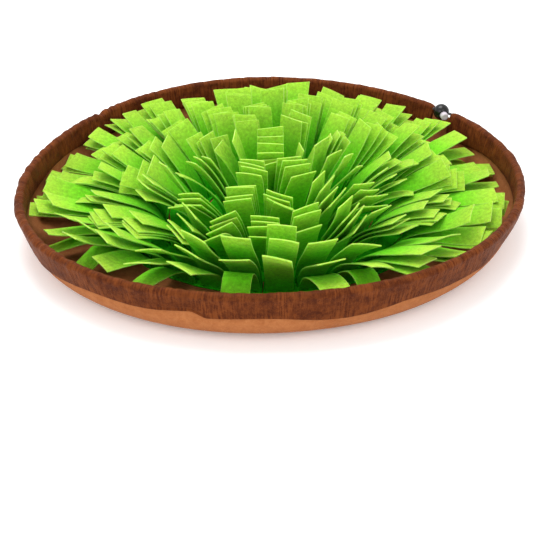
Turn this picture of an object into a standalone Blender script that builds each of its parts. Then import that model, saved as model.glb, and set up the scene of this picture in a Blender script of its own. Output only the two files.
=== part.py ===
"""A round snuffle mat: a shallow dish of cloth with a gathered rim, the casing of its drawstring with a cord lock,
and five rows of felt strips that stand in stacks on the floor of the dish and fan out towards the rim.

Metres, +Z up. The mat lies on z = 0 about the Z axis and +X is its right. An azimuth is counted from +X towards +Y.
"""

import math
import random

import bmesh
import bpy
from mathutils import Vector

MM = 0.001

# The rim. Its radius and height wander as the drawstring gathers them.
RIM_RADIUS = 245.5 * MM
RIM_TOP = 52.0 * MM
ROLL_RADIUS = 4.5 * MM
RIM_RADIUS_WAVES = (  # waves round the rim, cosine part in mm, sine part in mm
    (2, 0.8, 2.8),
    (3, 2.1, -3.4),
    (4, 0.0, 2.0),
    (5, -0.1, 0.4),
)
RIM_HEIGHT_WAVES = (
    (2, -0.9, -0.2),
    (3, -0.9, 0.3),
)

# The dish of cloth: how far inside the rim, and how high, the middle of its cloth lies.
CLOTH = 2.0 * MM
GAP = 0.3 * MM
DISH = (  # name, mm inside the rim, mm above the floor
    ("foot", 34.0, 1.0),
    ("turn", 19.5, 4.0),
    ("flare", 10.5, 12.5),
    ("side", 6.2, 21.0),
    ("edge", 1.0, 43.0),
)
FLOOR_MARGIN = 3.0 * MM
FLOOR_STEPS = 48
DISH_STEPS = 80

# The casing folds over the edge of the dish. Its ends leave a gap for the cord lock.
CASING_CLOTH = 1.6 * MM
CASING_OUTER_HEM = 25.0 * MM
CASING_INNER_HEM = 28.0 * MM
CASING_BULGE = 0.7 * MM
CASING_STEPS = 90
LOCK_AZIMUTH = math.radians(39.0)
CASING_START = math.radians(42.8)
CASING_END = math.radians(35.2 + 360.0)
HEM_WAVES = (  # waves round the hem, size in mm, phase in degrees
    (4, 1.3, 20.0),
    (9, 0.9, 140.0),
    (14, 0.8, 65.0),
)
PUCKER_WAVES = (
    (17, 0.35, 10.0),
    (23, 0.3, 200.0),
)

# The cord lock and the stubs of drawstring that show beside it.
LOCK_RADIUS = 8.8 * MM
LOCK_INSET = 2.0 * MM
LOCK_DIP = 4.0 * MM
LOCK_DIP_HALF_WIDTH = math.radians(2.3)
LOCK_DIP_REACH = math.radians(5.5)
BORE_RADIUS = 4.6 * MM
BORE_FLOOR = -4.2 * MM
PLUNGER_RADIUS = 4.2 * MM
PLUNGER_INNER = 0.4 * MM
PLUNGER_OUTER = 12.2 * MM
PLUNGER_ROUND = 1.4 * MM
PLUNGER_TURN = math.radians(25.0)
PLUNGER_TIP = math.radians(8.0)
CORD_DIAMETER = 3.0 * MM
CORD_OFFSET = 2.9 * MM

# The felt strips stand in stacks: a row's columns, each of some layers. A stack keeps to its own wedge of the row.
FELT = 1.6 * MM
STRIP_WIDTH = 26.0 * MM
STRIP_LENGTH = 82.0 * MM
LENGTH_SPREAD = 0.05
UPRIGHT_CLOSENESS = 0.5
SEED = 11
ROWS = (  # root radius and pitch in mm, the rest but fan in degrees; leans are the middle layer's, at its tip
    {"name": "heart", "parts": 2, "columns": 2, "layers": 2, "radius": 3.4, "pitch": 3.6, "turn": 0,
     "front": 6, "side": 6, "back": 6, "sway": 0, "spread": 4.0, "twist": 0, "swing": 0, "fan": 0.0},
    {"name": "core", "parts": 1, "columns": 4, "layers": 2, "radius": 18.0, "pitch": 3.6, "turn": 45,
     "front": 12, "side": 15, "back": 10, "sway": 2, "spread": 4.0, "twist": 8, "swing": 3, "fan": 0.3},
    {"name": "row_1", "parts": 2, "columns": 8, "layers": 4, "radius": 36.5, "pitch": 3.2, "turn": 0,
     "front": 14, "side": 28, "back": 14, "sway": 5, "spread": 3.0, "twist": 20, "swing": 8, "fan": 0.3},
    {"name": "row_2", "parts": 4, "columns": 16, "layers": 4, "radius": 72.0, "pitch": 3.4, "turn": -5,
     "front": 23, "side": 53, "back": 25, "sway": 6, "spread": 3.6, "twist": 24, "swing": 12, "fan": 0.4},
    {"name": "row_3", "parts": 6, "columns": 24, "layers": 4, "radius": 107.0, "pitch": 4.0, "turn": 6,
     "front": 34, "side": 74, "back": 42, "sway": 5, "spread": 4.4, "twist": 24, "swing": 12, "fan": 0.5},
    {"name": "row_4", "parts": 8, "columns": 32, "layers": 3, "radius": 141.0, "pitch": 7.5, "turn": -3,
     "front": 44, "side": 95, "back": 62, "sway": 5, "spread": 6.5, "twist": 18, "swing": 15, "fan": 0.6},
)
ROOT_TILT = 0.25
BEND = 1.0 / 3.0
CURL = (-8.0, 14.0)
ROOM_SHARE = 0.9
BACKING = 2.0 * MM
BACKING_MARGIN = 2.5 * MM
PART_GAP = 0.8 * MM
END_MARGIN = 1.2 * MM
WALL_CLEARANCE = 3.5 * MM
UPRIGHT_STATIONS = (0.2, 0.55, 1.0)
LEANING_STATIONS = (0.14, 0.42, 0.72, 1.0)
PROFILE_STEPS = 24


def waves(table, azimuth):
    """The sum of a table of cosine and sine waves, in metres."""
    return MM * sum(c * math.cos(n * azimuth) + s * math.sin(n * azimuth) for n, c, s in table)


def ripple(table, azimuth):
    """The sum of a table of waves that each have a size and a phase, in the table's own unit."""
    return sum(size * math.sin(n * azimuth + math.radians(phase)) for n, size, phase in table)


def rim_radius(azimuth):
    return RIM_RADIUS + waves(RIM_RADIUS_WAVES, azimuth)


def polar(radius, azimuth, height):
    return Vector((radius * math.cos(azimuth), radius * math.sin(azimuth), height))


def side_inset(height):
    """How far inside the rim the middle of the dish's cloth, or the line it would follow, lies at a height."""
    rows = [(inset * MM, level * MM) for _, inset, level in DISH]
    pairs = list(zip(rows, rows[1:]))
    (low_inset, low), (high_inset, high) = next((pair for pair in pairs if height <= pair[1][1]), pairs[-1])
    return low_inset + (high_inset - low_inset) * (height - low) / (high - low)


def offset_line(points, distance):
    """A line of (radius, height) points moved sideways by a distance, with mitred corners."""
    normals = []
    for (r0, z0), (r1, z1) in zip(points, points[1:]):
        length = math.hypot(r1 - r0, z1 - z0)
        normals.append(((z1 - z0) / length, -(r1 - r0) / length))
    moved = []
    for i, (r, z) in enumerate(points):
        before = normals[max(i - 1, 0)]
        after = normals[min(i, len(normals) - 1)]
        scale = distance / (1.0 + before[0] * after[0] + before[1] * after[1])
        moved.append((r + scale * (before[0] + after[0]), z + scale * (before[1] + after[1])))
    return moved


def new_object(name, bm, collection, material):
    """A mesh object from a bmesh, with its faces turned outwards."""
    bmesh.ops.recalc_face_normals(bm, faces=bm.faces)
    mesh = bpy.data.meshes.new(name)
    bm.to_mesh(mesh)
    bm.free()
    obj = bpy.data.objects.new(name, mesh)
    obj.data.materials.append(material)
    collection.objects.link(obj)
    return obj


def principled(name, colour, roughness, metallic=0.0):
    material = bpy.data.materials.new(name)
    material.use_nodes = True
    shader = material.node_tree.nodes["Principled BSDF"]
    shader.inputs["Base Color"].default_value = (*colour, 1.0)
    shader.inputs["Roughness"].default_value = roughness
    shader.inputs["Metallic"].default_value = metallic
    return material


def spin_section(bm, points, start, angle, steps, closed):
    """Turns a line of (radius, height) points about Z from a start azimuth."""
    verts = [bm.verts.new(polar(r, start, z)) for r, z in points]
    pairs = list(zip(verts, verts[1:]))
    if closed:
        pairs.append((verts[-1], verts[0]))
    edges = [bm.edges.new(pair) for pair in pairs]
    bmesh.ops.spin(bm, geom=verts + edges, cent=(0, 0, 0), axis=(0, 0, 1), angle=angle, steps=steps)
    bmesh.ops.remove_doubles(bm, verts=bm.verts, dist=0.02 * MM)


def follow_rim(height, azimuth):
    """The height of a point of the rim once the rim's own rise and fall is added."""
    above = max(0.0, height - CLOTH) / (RIM_TOP - CLOTH)
    return height + above * waves(RIM_HEIGHT_WAVES, azimuth)


def near_lock(azimuth):
    """How far the dish's edge dips under the cord lock, from 0 to 1."""
    away = abs(math.remainder(azimuth - LOCK_AZIMUTH, math.tau))
    share = (LOCK_DIP_REACH - away) / (LOCK_DIP_REACH - LOCK_DIP_HALF_WIDTH)
    return min(1.0, max(0.0, share))


def dish_outlines():
    """The closed outlines of the dish's flat floor and of its side, as (radius, height)."""
    foot = (RIM_RADIUS - DISH[0][1] * MM, DISH[0][2] * MM)
    middle = [(0.0, foot[1])] + [(RIM_RADIUS - inset * MM, level * MM) for _, inset, level in DISH]
    outer = offset_line(middle, CLOTH / 2)
    inner = offset_line(middle, -CLOTH / 2)
    edge = foot[0] - FLOOR_MARGIN
    floor = [outer[0], (edge - GAP / 2, 0.0), (edge - GAP / 2, CLOTH), inner[0]]
    side = [(edge + GAP / 2, 0.0)] + outer[1:] + inner[:0:-1] + [(edge + GAP / 2, CLOTH)]
    return floor, side


def follow_dish(bm):
    """Bends a turned piece of the dish to the rim's own line, and dips its edge under the cord lock."""
    edge_level = (DISH[-1][2] - 6.0) * MM
    foot = RIM_RADIUS - DISH[0][1] * MM
    for vert in bm.verts:
        azimuth = math.atan2(vert.co.y, vert.co.x)
        radius = math.hypot(vert.co.x, vert.co.y)
        height = vert.co.z
        if height > edge_level:
            height -= LOCK_DIP * near_lock(azimuth)
            radius += side_inset(vert.co.z) - side_inset(height)
        radius += waves(RIM_RADIUS_WAVES, azimuth) * min(1.0, radius / foot)
        vert.co = polar(radius, azimuth, follow_rim(height, azimuth))


def make_dish(collection, material):
    """The round of cloth: its flat floor, and the side that rises to the rim."""
    floor, side = dish_outlines()
    start = LOCK_AZIMUTH + math.pi / DISH_STEPS
    bm = bmesh.new()
    spin_section(bm, floor, start, math.tau, FLOOR_STEPS, closed=False)
    follow_dish(bm)
    new_object("dish_floor", bm, collection, material)
    bm = bmesh.new()
    spin_section(bm, side, start, math.tau, DISH_STEPS, closed=True)
    follow_dish(bm)
    new_object("dish", bm, collection, material)


def casing_section():
    """The casing's closed section: offset from the middle of the dish's cloth, and height."""
    inside = CLOTH / 2 + GAP
    outside = inside + CASING_CLOTH
    middle = RIM_TOP - ROLL_RADIUS
    roll = [
        (ROLL_RADIUS * math.cos(math.radians(a)), middle + ROLL_RADIUS * math.sin(math.radians(a)))
        for a in (-25, 15, 52, 90, 128, 165, 205)
    ]
    ceiling = DISH[-1][2] * MM + 2 * GAP
    return (
        [(outside, CASING_OUTER_HEM), (outside + CASING_BULGE, (CASING_OUTER_HEM + middle) / 2)]
        + roll
        + [(-outside, CASING_INNER_HEM), (-inside, CASING_INNER_HEM), (-inside, ceiling)]
        + [(inside, ceiling), (inside, CASING_OUTER_HEM)]
    )


def make_casing(collection, material):
    """The strip that is folded over the dish's edge and holds the drawstring in its roll."""
    points = [(RIM_RADIUS - side_inset(z) + offset, z) for offset, z in casing_section()]
    bm = bmesh.new()
    spin_section(bm, points, CASING_START, CASING_END - CASING_START, CASING_STEPS, closed=True)
    hem_top = max(CASING_OUTER_HEM, CASING_INNER_HEM) + 0.1 * MM
    inside = CLOTH / 2 + GAP
    for vert in bm.verts:
        azimuth = math.atan2(vert.co.y, vert.co.x)
        offset = math.hypot(vert.co.x, vert.co.y) - (RIM_RADIUS - side_inset(vert.co.z))
        height = vert.co.z
        if height < hem_top:
            height += MM * ripple(HEM_WAVES, azimuth)
        if offset > inside + 0.1 * MM:
            offset += MM * ripple(PUCKER_WAVES, azimuth)
        radius = RIM_RADIUS - side_inset(height) + offset
        radius += waves(RIM_RADIUS_WAVES, azimuth)
        vert.co = polar(radius, azimuth, follow_rim(height, azimuth))
    ends = [edge for edge in bm.edges if edge.is_boundary]
    bmesh.ops.holes_fill(bm, edges=ends, sides=0)
    return new_object("casing", bm, collection, material)


def lock_frame():
    """The cord lock's middle, its way along the rim (clockwise), outwards, and its plunger's way out."""
    outward = polar(1.0, LOCK_AZIMUTH, 0.0)
    along = Vector((outward.y, -outward.x, 0.0))
    edge = follow_rim(DISH[-1][2] * MM - LOCK_DIP, LOCK_AZIMUTH)
    middle = polar(rim_radius(LOCK_AZIMUTH) - LOCK_INSET, LOCK_AZIMUTH, edge + GAP + LOCK_RADIUS)
    level = math.cos(PLUNGER_TURN) * along - math.sin(PLUNGER_TURN) * outward
    plunger = math.cos(PLUNGER_TIP) * level - math.sin(PLUNGER_TIP) * Vector((0, 0, 1))
    return middle, along, outward, plunger


def turned_to(direction):
    return Vector((0, 0, 1)).rotation_difference(direction).to_matrix().to_4x4()


def make_lock(collection, cutters, material):
    """The cord lock's round body, with the bore that its plunger slides in."""
    middle, _, _, axis = lock_frame()
    bm = bmesh.new()
    bmesh.ops.create_uvsphere(bm, u_segments=24, v_segments=14, radius=LOCK_RADIUS)
    body = new_object("cord_lock", bm, collection, material)
    body.matrix_world = turned_to(axis)
    body.location = middle
    bm = bmesh.new()
    depth = 2 * LOCK_RADIUS
    bmesh.ops.create_cone(
        bm, cap_ends=True, segments=20, radius1=BORE_RADIUS, radius2=BORE_RADIUS, depth=depth
    )
    bmesh.ops.translate(bm, verts=bm.verts, vec=(0, 0, BORE_FLOOR + depth / 2))
    bore = new_object("cord_lock_bore", bm, cutters, material)
    bore.matrix_world = turned_to(axis)
    bore.location = middle
    bore.hide_render = True
    cut = body.modifiers.new("bore", "BOOLEAN")
    cut.operation = "DIFFERENCE"
    cut.solver = "EXACT"
    cut.object = bore
    return body


def make_plunger(collection, material):
    """The spring plunger: a pin with a rounded end that stands out of the cord lock."""
    middle, _, _, axis = lock_frame()
    bm = bmesh.new()
    bmesh.ops.create_cone(
        bm,
        cap_ends=True,
        segments=20,
        radius1=PLUNGER_RADIUS,
        radius2=PLUNGER_RADIUS,
        depth=PLUNGER_OUTER - PLUNGER_INNER,
    )
    bmesh.ops.translate(bm, verts=bm.verts, vec=(0, 0, (PLUNGER_OUTER + PLUNGER_INNER) / 2))
    outer = [edge for edge in bm.edges if all(v.co.z > PLUNGER_OUTER - 0.1 * MM for v in edge.verts)]
    bmesh.ops.bevel(bm, geom=outer, offset=PLUNGER_ROUND, segments=2, profile=0.5, affect="EDGES")
    plunger = new_object("plunger", bm, collection, material)
    plunger.matrix_world = turned_to(axis)
    plunger.location = middle
    return plunger


def make_cord_stub(name, start, end, collection, material):
    """A short length of drawstring between two points."""
    curve = bpy.data.curves.new(name, "CURVE")
    curve.dimensions = "3D"
    curve.bevel_depth = CORD_DIAMETER / 2
    curve.bevel_resolution = 2
    curve.use_fill_caps = True
    spline = curve.splines.new("POLY")
    spline.points.add(1)
    for point, place in zip(spline.points, (start, end)):
        point.co = (*place, 1.0)
    stub = bpy.data.objects.new(name, curve)
    stub.data.materials.append(material)
    collection.objects.link(stub)
    return stub


def make_cord_stubs(collection, material):
    """The drawstring where it leaves each end of the casing for the cord lock."""
    middle, along, outward, _ = lock_frame()
    roll = RIM_TOP - ROLL_RADIUS
    left_end = polar(rim_radius(CASING_START), CASING_START, follow_rim(roll, CASING_START))
    left = middle - (LOCK_RADIUS + GAP) * along
    back = (left_end - left).normalized()
    make_cord_stub("drawstring_left", left, left_end - 2 * GAP * back, collection, material)
    right_end = polar(rim_radius(CASING_END), CASING_END, follow_rim(roll, CASING_END)) + CORD_OFFSET * outward / 2
    right = middle + (LOCK_RADIUS + GAP) * along + CORD_OFFSET * outward
    back = (right_end - right).normalized()
    make_cord_stub("drawstring_right", right, right_end - 3 * GAP * back, collection, material)


def back_share(azimuth):
    """How much a strip stands as the back ones do, from 0 at the front to 1 at the back."""
    return ((1.0 + math.sin(azimuth)) / 2.0) ** 3


def front_share(azimuth):
    """How much a strip stands as the front ones do, from 0 at the back to 1 at the front."""
    return ((1.0 - math.sin(azimuth)) / 2.0) ** 5


def strip_profile(strip, reach):
    """Radius, height and angle from upright of a strip's middle at a length along it from the root."""
    radius = MM * (strip["row"]["radius"] + strip["row"]["pitch"] * strip["layer"])
    height = CLOTH + GAP + BACKING
    angle = strip["lean"] * ROOT_TILT
    step = reach / PROFILE_STEPS
    for i in range(PROFILE_STEPS):
        share = (i + 0.5) * step / STRIP_LENGTH
        settled = ROOT_TILT + (1.0 - ROOT_TILT) * (1.0 - max(0.0, 1.0 - share) ** 3)
        angle = strip["lean"] * settled + strip["curl"] * share ** 3
        radius += step * math.sin(angle)
        height += step * math.cos(angle)
    return radius, height, angle


def clear_of_side(strip):
    """Whether a strip's tip is clear of the dish's side and of the casing."""
    radius, height, _ = strip_profile(strip, strip["length"])
    if height > RIM_TOP + WALL_CLEARANCE:
        return True
    room = rim_radius(strip["azimuth"]) - side_inset(height) - CLOTH / 2
    if height > CASING_INNER_HEM - WALL_CLEARANCE:
        room -= ROLL_RADIUS - CLOTH / 2
    return radius < room - WALL_CLEARANCE


def column_azimuth(row, column):
    return math.radians(row["turn"]) + math.tau * (column + 0.5) / row["columns"]


def plan_stack(row, column, chance):
    """The strips of one stack, from the innermost layer out."""
    azimuth = column_azimuth(row, column)
    front, back = front_share(azimuth), back_share(azimuth)
    middle = row["side"] + front * (row["front"] - row["side"]) + back * (row["back"] - row["side"])
    middle += row["sway"] * (1.0 - back / 2) * chance.uniform(-1.0, 1.0)
    spread = row["spread"] * (1.0 - UPRIGHT_CLOSENESS * (front + back)) * chance.uniform(0.8, 1.3)
    size = STRIP_LENGTH * (1.0 + LENGTH_SPREAD * chance.uniform(-1.0, 1.0))
    curl = math.radians(chance.uniform(*CURL))
    twist = math.radians(row["twist"] * chance.uniform(-1.0, 1.0))
    swing, fan = chance.uniform(-1.0, 1.0), chance.choice((-1.0, 1.0)) * chance.uniform(0.5, 1.0)
    stack = []
    for layer in range(row["layers"]):
        place = layer - (row["layers"] - 1) / 2
        strip = {
            "row": row,
            "column": column,
            "layer": layer,
            "azimuth": azimuth,
            "lean": math.radians(middle + spread * (place + chance.uniform(-0.2, 0.2))),
            "curl": curl,
            "twist": twist,
            "length": size * (1.0 + LENGTH_SPREAD / 2 * chance.uniform(-1.0, 1.0)),
        }
        while not clear_of_side(strip):
            strip["length"] -= 2.0 * MM
        reach = strip_profile(strip, strip["length"])[0]
        room = reach * math.tan(math.pi / row["columns"]) - STRIP_WIDTH / 2
        most = min(math.radians(row["swing"]), math.atan(max(0.0, ROOM_SHARE * room / strip["length"])))
        layer_share = 2.0 * place / (row["layers"] - 1)
        strip["swing"] = most * ((1.0 - row["fan"]) * swing + row["fan"] * fan * layer_share)
        stack.append(strip)
    return stack


def strip_corners(strip, share):
    """The four corners of a strip's section at a share of its length, by side and then by face."""
    along = share * strip["length"]
    radius, height, angle = strip_profile(strip, along)
    turn = strip["swing"] * min(1.0, share / BEND)
    straight = share - BEND / 2 if share > BEND else share * share / BEND / 2
    drift = straight * strip["length"] * math.sin(strip["swing"])
    azimuth = strip["azimuth"] + drift / radius
    outward, sideways, up = polar(1.0, azimuth, 0.0), polar(1.0, azimuth + math.pi / 2, 0.0), Vector((0, 0, 1))
    lengthways = math.sin(angle) * outward + math.cos(angle) * up
    across = math.cos(turn) * sideways - math.sin(turn) * lengthways
    facing = math.cos(angle) * outward - math.sin(angle) * up
    twist = strip["twist"] * share
    width = math.cos(twist) * across + math.sin(twist) * facing
    depth = math.cos(twist) * facing - math.sin(twist) * across
    middle = radius * outward + height * up
    return [
        middle + side * STRIP_WIDTH / 2 * width + face * FELT / 2 * depth
        for side in (-1.0, 1.0)
        for face in (-1.0, 1.0)
    ]


def flat_place(radius, azimuth, across):
    """A point at a distance across from the middle of a flat strip that stands at a radius and azimuth."""
    outward = polar(radius, azimuth, 0.0)
    sideways = polar(across, azimuth + math.pi / 2, 0.0)
    return outward + sideways


def backing_place(row, columns, i, j):
    """Where a corner of the backing's grid goes: i counts the roots' sides round the mat, and j their faces."""
    column = columns[min(max((i - 1) // 2, 0), len(columns) - 1)]
    last = 2 * row["layers"] + 1
    if j == 0:
        radius = max(PART_GAP, MM * row["radius"] - FELT / 2 - BACKING_MARGIN)
    elif j == last:
        radius = MM * (row["radius"] + row["pitch"] * (row["layers"] - 1)) + FELT / 2 + BACKING_MARGIN
    else:
        layer, face = divmod(j - 1, 2)
        radius = MM * (row["radius"] + row["pitch"] * layer) + (face - 0.5) * FELT
    azimuth = column_azimuth(row, column)
    if 0 < i < 2 * len(columns) + 1:
        side = 1.0 if (i - 1) % 2 else -1.0
        return flat_place(radius, azimuth, side * STRIP_WIDTH / 2)
    side = -1.0 if i == 0 else 1.0
    across = radius * math.tan(math.pi / row["columns"]) if row["columns"] > 2 else STRIP_WIDTH / 2 + END_MARGIN
    return flat_place(radius, azimuth, side * (across - PART_GAP / 2))


def make_row_part(row, part, strips, collection, material):
    """One length of backing with its strips: a grid bent round the mat, whose cells grow into the strips."""
    columns = sorted({strip["column"] for strip in strips})
    across, along = 2 * row["layers"] + 1, 2 * len(columns) + 1
    bm = bmesh.new()
    bmesh.ops.create_grid(bm, x_segments=along, y_segments=across, size=0.5)
    cells = {vert: (round((vert.co.x + 0.5) * along), round((vert.co.y + 0.5) * across)) for vert in bm.verts}
    top = Vector((0, 0, CLOTH + GAP + BACKING))
    for vert, (i, j) in cells.items():
        vert.co = backing_place(row, columns, i, j) + top
    upper = bm.faces[:]
    lower = bmesh.ops.extrude_face_region(bm, geom=upper, use_keep_orig=True)
    below = [item for item in lower["geom"] if isinstance(item, bmesh.types.BMVert)]
    bmesh.ops.translate(bm, verts=below, vec=(0, 0, -BACKING))
    roots = {}
    for face in upper:
        i = min(cells[vert][0] for vert in face.verts)
        j = min(cells[vert][1] for vert in face.verts)
        if i % 2 and j % 2:
            corners = [2 * (cells[vert][0] - i) + cells[vert][1] - j for vert in face.verts]
            roots[columns[(i - 1) // 2], (j - 1) // 2] = (face, corners)
    stations = UPRIGHT_STATIONS if row["side"] < 60 else LEANING_STATIONS
    for strip in strips:
        face, order = roots[strip["column"], strip["layer"]]
        for share in stations:
            face = bmesh.ops.extrude_discrete_faces(bm, faces=[face])["faces"][0]
            corners = strip_corners(strip, share)
            for vert, corner in zip(face.verts, order):
                vert.co = corners[corner]
    return new_object(f"{row['name']}_{part}", bm, collection, material)


def make_rows(collection, material):
    """All rows of strips, each in the lengths of backing that it is sewn on."""
    chance = random.Random(SEED)
    for row in ROWS:
        stacks = [plan_stack(row, column, chance) for column in range(row["columns"])]
        columns = row["columns"] // row["parts"]
        for part in range(row["parts"]):
            strips = [strip for stack in stacks[part * columns : (part + 1) * columns] for strip in stack]
            make_row_part(row, part + 1, strips, collection, material)


def main():
    for obj in list(bpy.data.objects):
        bpy.data.objects.remove(obj)
    mat = bpy.data.collections.new("snuffle_mat")
    cutters = bpy.data.collections.new("cutters")
    bpy.context.scene.collection.children.link(mat)
    bpy.context.scene.collection.children.link(cutters)
    suede = principled("dish_cloth", (0.50, 0.17, 0.07), 0.9)
    brown = principled("casing_cloth", (0.16, 0.045, 0.015), 0.6)
    black = principled("lock_plastic", (0.01, 0.01, 0.01), 0.25)
    grey = principled("plunger_plastic", (0.62, 0.56, 0.62), 0.35)
    cord = principled("drawstring", (0.012, 0.011, 0.01), 0.8)
    felt = principled("felt", (0.23, 0.60, 0.03), 0.95)
    make_dish(mat, suede)
    make_casing(mat, brown)
    make_lock(mat, cutters, black)
    make_plunger(mat, grey)
    make_cord_stubs(mat, cord)
    make_rows(mat, felt)


main()
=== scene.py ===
"""Dresses a round snuffle mat: a shallow dish of suede-like cloth, the gathered casing of its drawstring
with a cord lock, and stacks of felt strips that fan out over the floor of the dish.

Metres, +Z up. The mat lies on z = 0 about the Z axis and +X is its right. An azimuth is counted from +X
towards +Y. A size whose name ends in _mm is in millimetres.
"""

import logging
import math
import random
from collections.abc import Callable, Sequence
from dataclasses import dataclass, field
from enum import Enum

import bmesh
import bpy
from mathutils import Matrix, Vector, noise
from mathutils.bvhtree import BVHTree


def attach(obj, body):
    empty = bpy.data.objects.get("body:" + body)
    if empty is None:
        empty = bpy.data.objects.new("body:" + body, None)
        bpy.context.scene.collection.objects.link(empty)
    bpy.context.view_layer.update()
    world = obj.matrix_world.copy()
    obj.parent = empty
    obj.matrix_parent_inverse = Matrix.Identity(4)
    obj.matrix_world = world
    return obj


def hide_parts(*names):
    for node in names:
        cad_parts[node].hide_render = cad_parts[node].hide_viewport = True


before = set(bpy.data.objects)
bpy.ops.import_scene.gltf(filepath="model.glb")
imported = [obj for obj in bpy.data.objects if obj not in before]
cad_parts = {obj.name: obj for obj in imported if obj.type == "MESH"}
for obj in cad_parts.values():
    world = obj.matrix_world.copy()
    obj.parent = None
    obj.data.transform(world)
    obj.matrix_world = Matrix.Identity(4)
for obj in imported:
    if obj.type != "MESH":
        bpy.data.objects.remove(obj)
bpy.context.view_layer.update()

Mesh = bmesh.types.BMesh
Material = bpy.types.Material
Node = bpy.types.Node
Object = bpy.types.Object
Socket = bpy.types.NodeSocket
Tree = bpy.types.NodeTree
Colour = tuple[float, float, float]
Place = tuple[float, float, float]
Line = list[tuple[float, float]]
Waves = tuple[tuple[int, float, float], ...]

LOG = logging.getLogger("snuffle_mat")
MM = 0.001
UP = Vector((0, 0, 1))
WHITE = (1.0, 1.0, 1.0, 1.0)
MERGED = 0.01 * MM
CUT_EDGE_ANGLE = math.radians(55)
CUT_EDGE_SEGMENTS = 2
NOISE_SLICE = 0.5


class Body(Enum):
    """The bodies that a piece can ride on."""

    MAT = "mat"
    PLUNGER = "plunger"


class Slot(Enum):
    """The finishes that the record names."""

    DISH = "dish_cloth"
    CASING = "casing_cloth"
    LOCK = "lock_plastic"
    PLUNGER = "plunger_plastic"
    CORD = "drawstring"
    FELT = "felt"


# --------------------------------------------------------------------------------------------------
# Shared shapes


def polar(radius: float, azimuth: float, height: float) -> Vector:
    """Gives the point at a radius and azimuth about the Z axis, and at a height."""
    return Vector((radius * math.cos(azimuth), radius * math.sin(azimuth), height))


def smooth_step(low: float, high: float, value: float) -> float:
    """Rises smoothly from 0 to 1 as a value goes from low to high."""
    share = min(1.0, max(0.0, (value - low) / (high - low)))
    return share * share * (3.0 - 2.0 * share)


def soft_noise(*place: float) -> float:
    """Gives smooth noise from about -1 to 1 at up to three coordinates."""
    return noise.noise(Vector((*place, NOISE_SLICE, NOISE_SLICE)[:3]))


def degrees_from(centre: float, azimuth: float) -> float:
    """Gives how far an azimuth lies past another, in degrees from -180 to 180."""
    return math.degrees(math.remainder(azimuth - centre, math.tau))


def round_corners(points: Line, rounds: int, closed: bool = False) -> Line:
    """Cuts the corners of a line, again and again, so that it turns smoothly.

    Args:
        points: The line's points.
        rounds: How many times the corners are cut.
        closed: Whether the line's end joins its start.

    Returns:
        The smoother line. An open line keeps its ends.
    """
    for _ in range(rounds):
        pairs = list(zip(points, points[1:] + points[:1] if closed else points[1:]))
        cut: Line = []
        for (r0, z0), (r1, z1) in pairs:
            cut.append((0.75 * r0 + 0.25 * r1, 0.75 * z0 + 0.25 * z1))
            cut.append((0.25 * r0 + 0.75 * r1, 0.25 * z0 + 0.75 * z1))
        points = cut if closed else [points[0], *cut[1:-1], points[-1]]
    return points


def hold_corners(points: Line, reach: float, most: float = 0.4) -> Line:
    """Adds points close to each corner of an open line, so that rounding it changes no more than that reach.

    Args:
        points: The line's points.
        reach: How far from its corners the new points stand at most.
        most: The largest share of a straight length that they stand in from its ends.

    Returns:
        The line with its new points.
    """
    held = [points[0]]
    for (r0, z0), (r1, z1) in zip(points, points[1:]):
        share = min(most, reach / math.hypot(r1 - r0, z1 - z0))
        held.append((r0 + share * (r1 - r0), z0 + share * (z1 - z0)))
        held.append((r1 - share * (r1 - r0), z1 - share * (z1 - z0)))
        held.append((r1, z1))
    return held


def spin_line(bm: Mesh, points: Line, start: float, angle: float, steps: int, closed: bool = False) -> None:
    """Turns a line of (radius, height) points about the Z axis.

    Args:
        bm: The mesh that takes the turned shape.
        points: The line, in metres.
        start: The azimuth it starts at.
        angle: How far it turns; a full turn is closed.
        steps: How many faces it has round.
        closed: Whether the line is a closed outline.
    """
    verts = [bm.verts.new(polar(r, start, z)) for r, z in points]
    pairs = list(zip(verts, verts[1:]))
    if closed:
        pairs.append((verts[-1], verts[0]))
    edges = [bm.edges.new(pair) for pair in pairs]
    full = math.isclose(angle, math.tau)
    bmesh.ops.spin(bm, geom=verts + edges, cent=(0, 0, 0), axis=UP, angle=angle, steps=steps, use_merge=full)
    bmesh.ops.remove_doubles(bm, verts=bm.verts, dist=MERGED)


def unroll(bm: Mesh, size: float, level: Callable[[bmesh.types.BMVert], float]) -> None:
    """Gives a shape that goes round the Z axis a map of its cloth, in metres.

    Args:
        bm: The shape.
        size: The radius at which the map's first axis is measured.
        level: Gives the map's second axis at a corner.
    """
    cloth_map = bm.loops.layers.uv.new("cloth")
    for face in bm.faces:
        centre = face.calc_center_median()
        about = math.atan2(centre.y, centre.x)
        for loop in face.loops:
            corner = loop.vert
            azimuth = about + math.remainder(math.atan2(corner.co.y, corner.co.x) - about, math.tau)
            loop[cloth_map].uv = (size * azimuth, level(corner))


def finished_object(
    name: str, bm: Mesh, material: Material, body: Body, slot: Slot, replaced: Sequence[str]
) -> Object:
    """Makes a piece from a bmesh, with its material, and ties it to the frame.

    Args:
        name: The piece's name.
        bm: Its mesh, which is freed.
        material: Its finish.
        body: The body it rides on.
        slot: The record's slot that its finish stands for; not used.
        replaced: The frame's nodes that it stands for.

    Returns:
        The object, smooth shaded.
    """
    bmesh.ops.recalc_face_normals(bm, faces=bm.faces)
    mesh = bpy.data.meshes.new(name)
    bm.to_mesh(mesh)
    bm.free()
    mesh.shade_smooth()
    mesh.materials.append(material)
    obj = bpy.data.objects.new(name, mesh)
    bpy.context.scene.collection.objects.link(obj)
    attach(obj, body.value)
    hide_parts(*replaced)
    return obj


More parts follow.
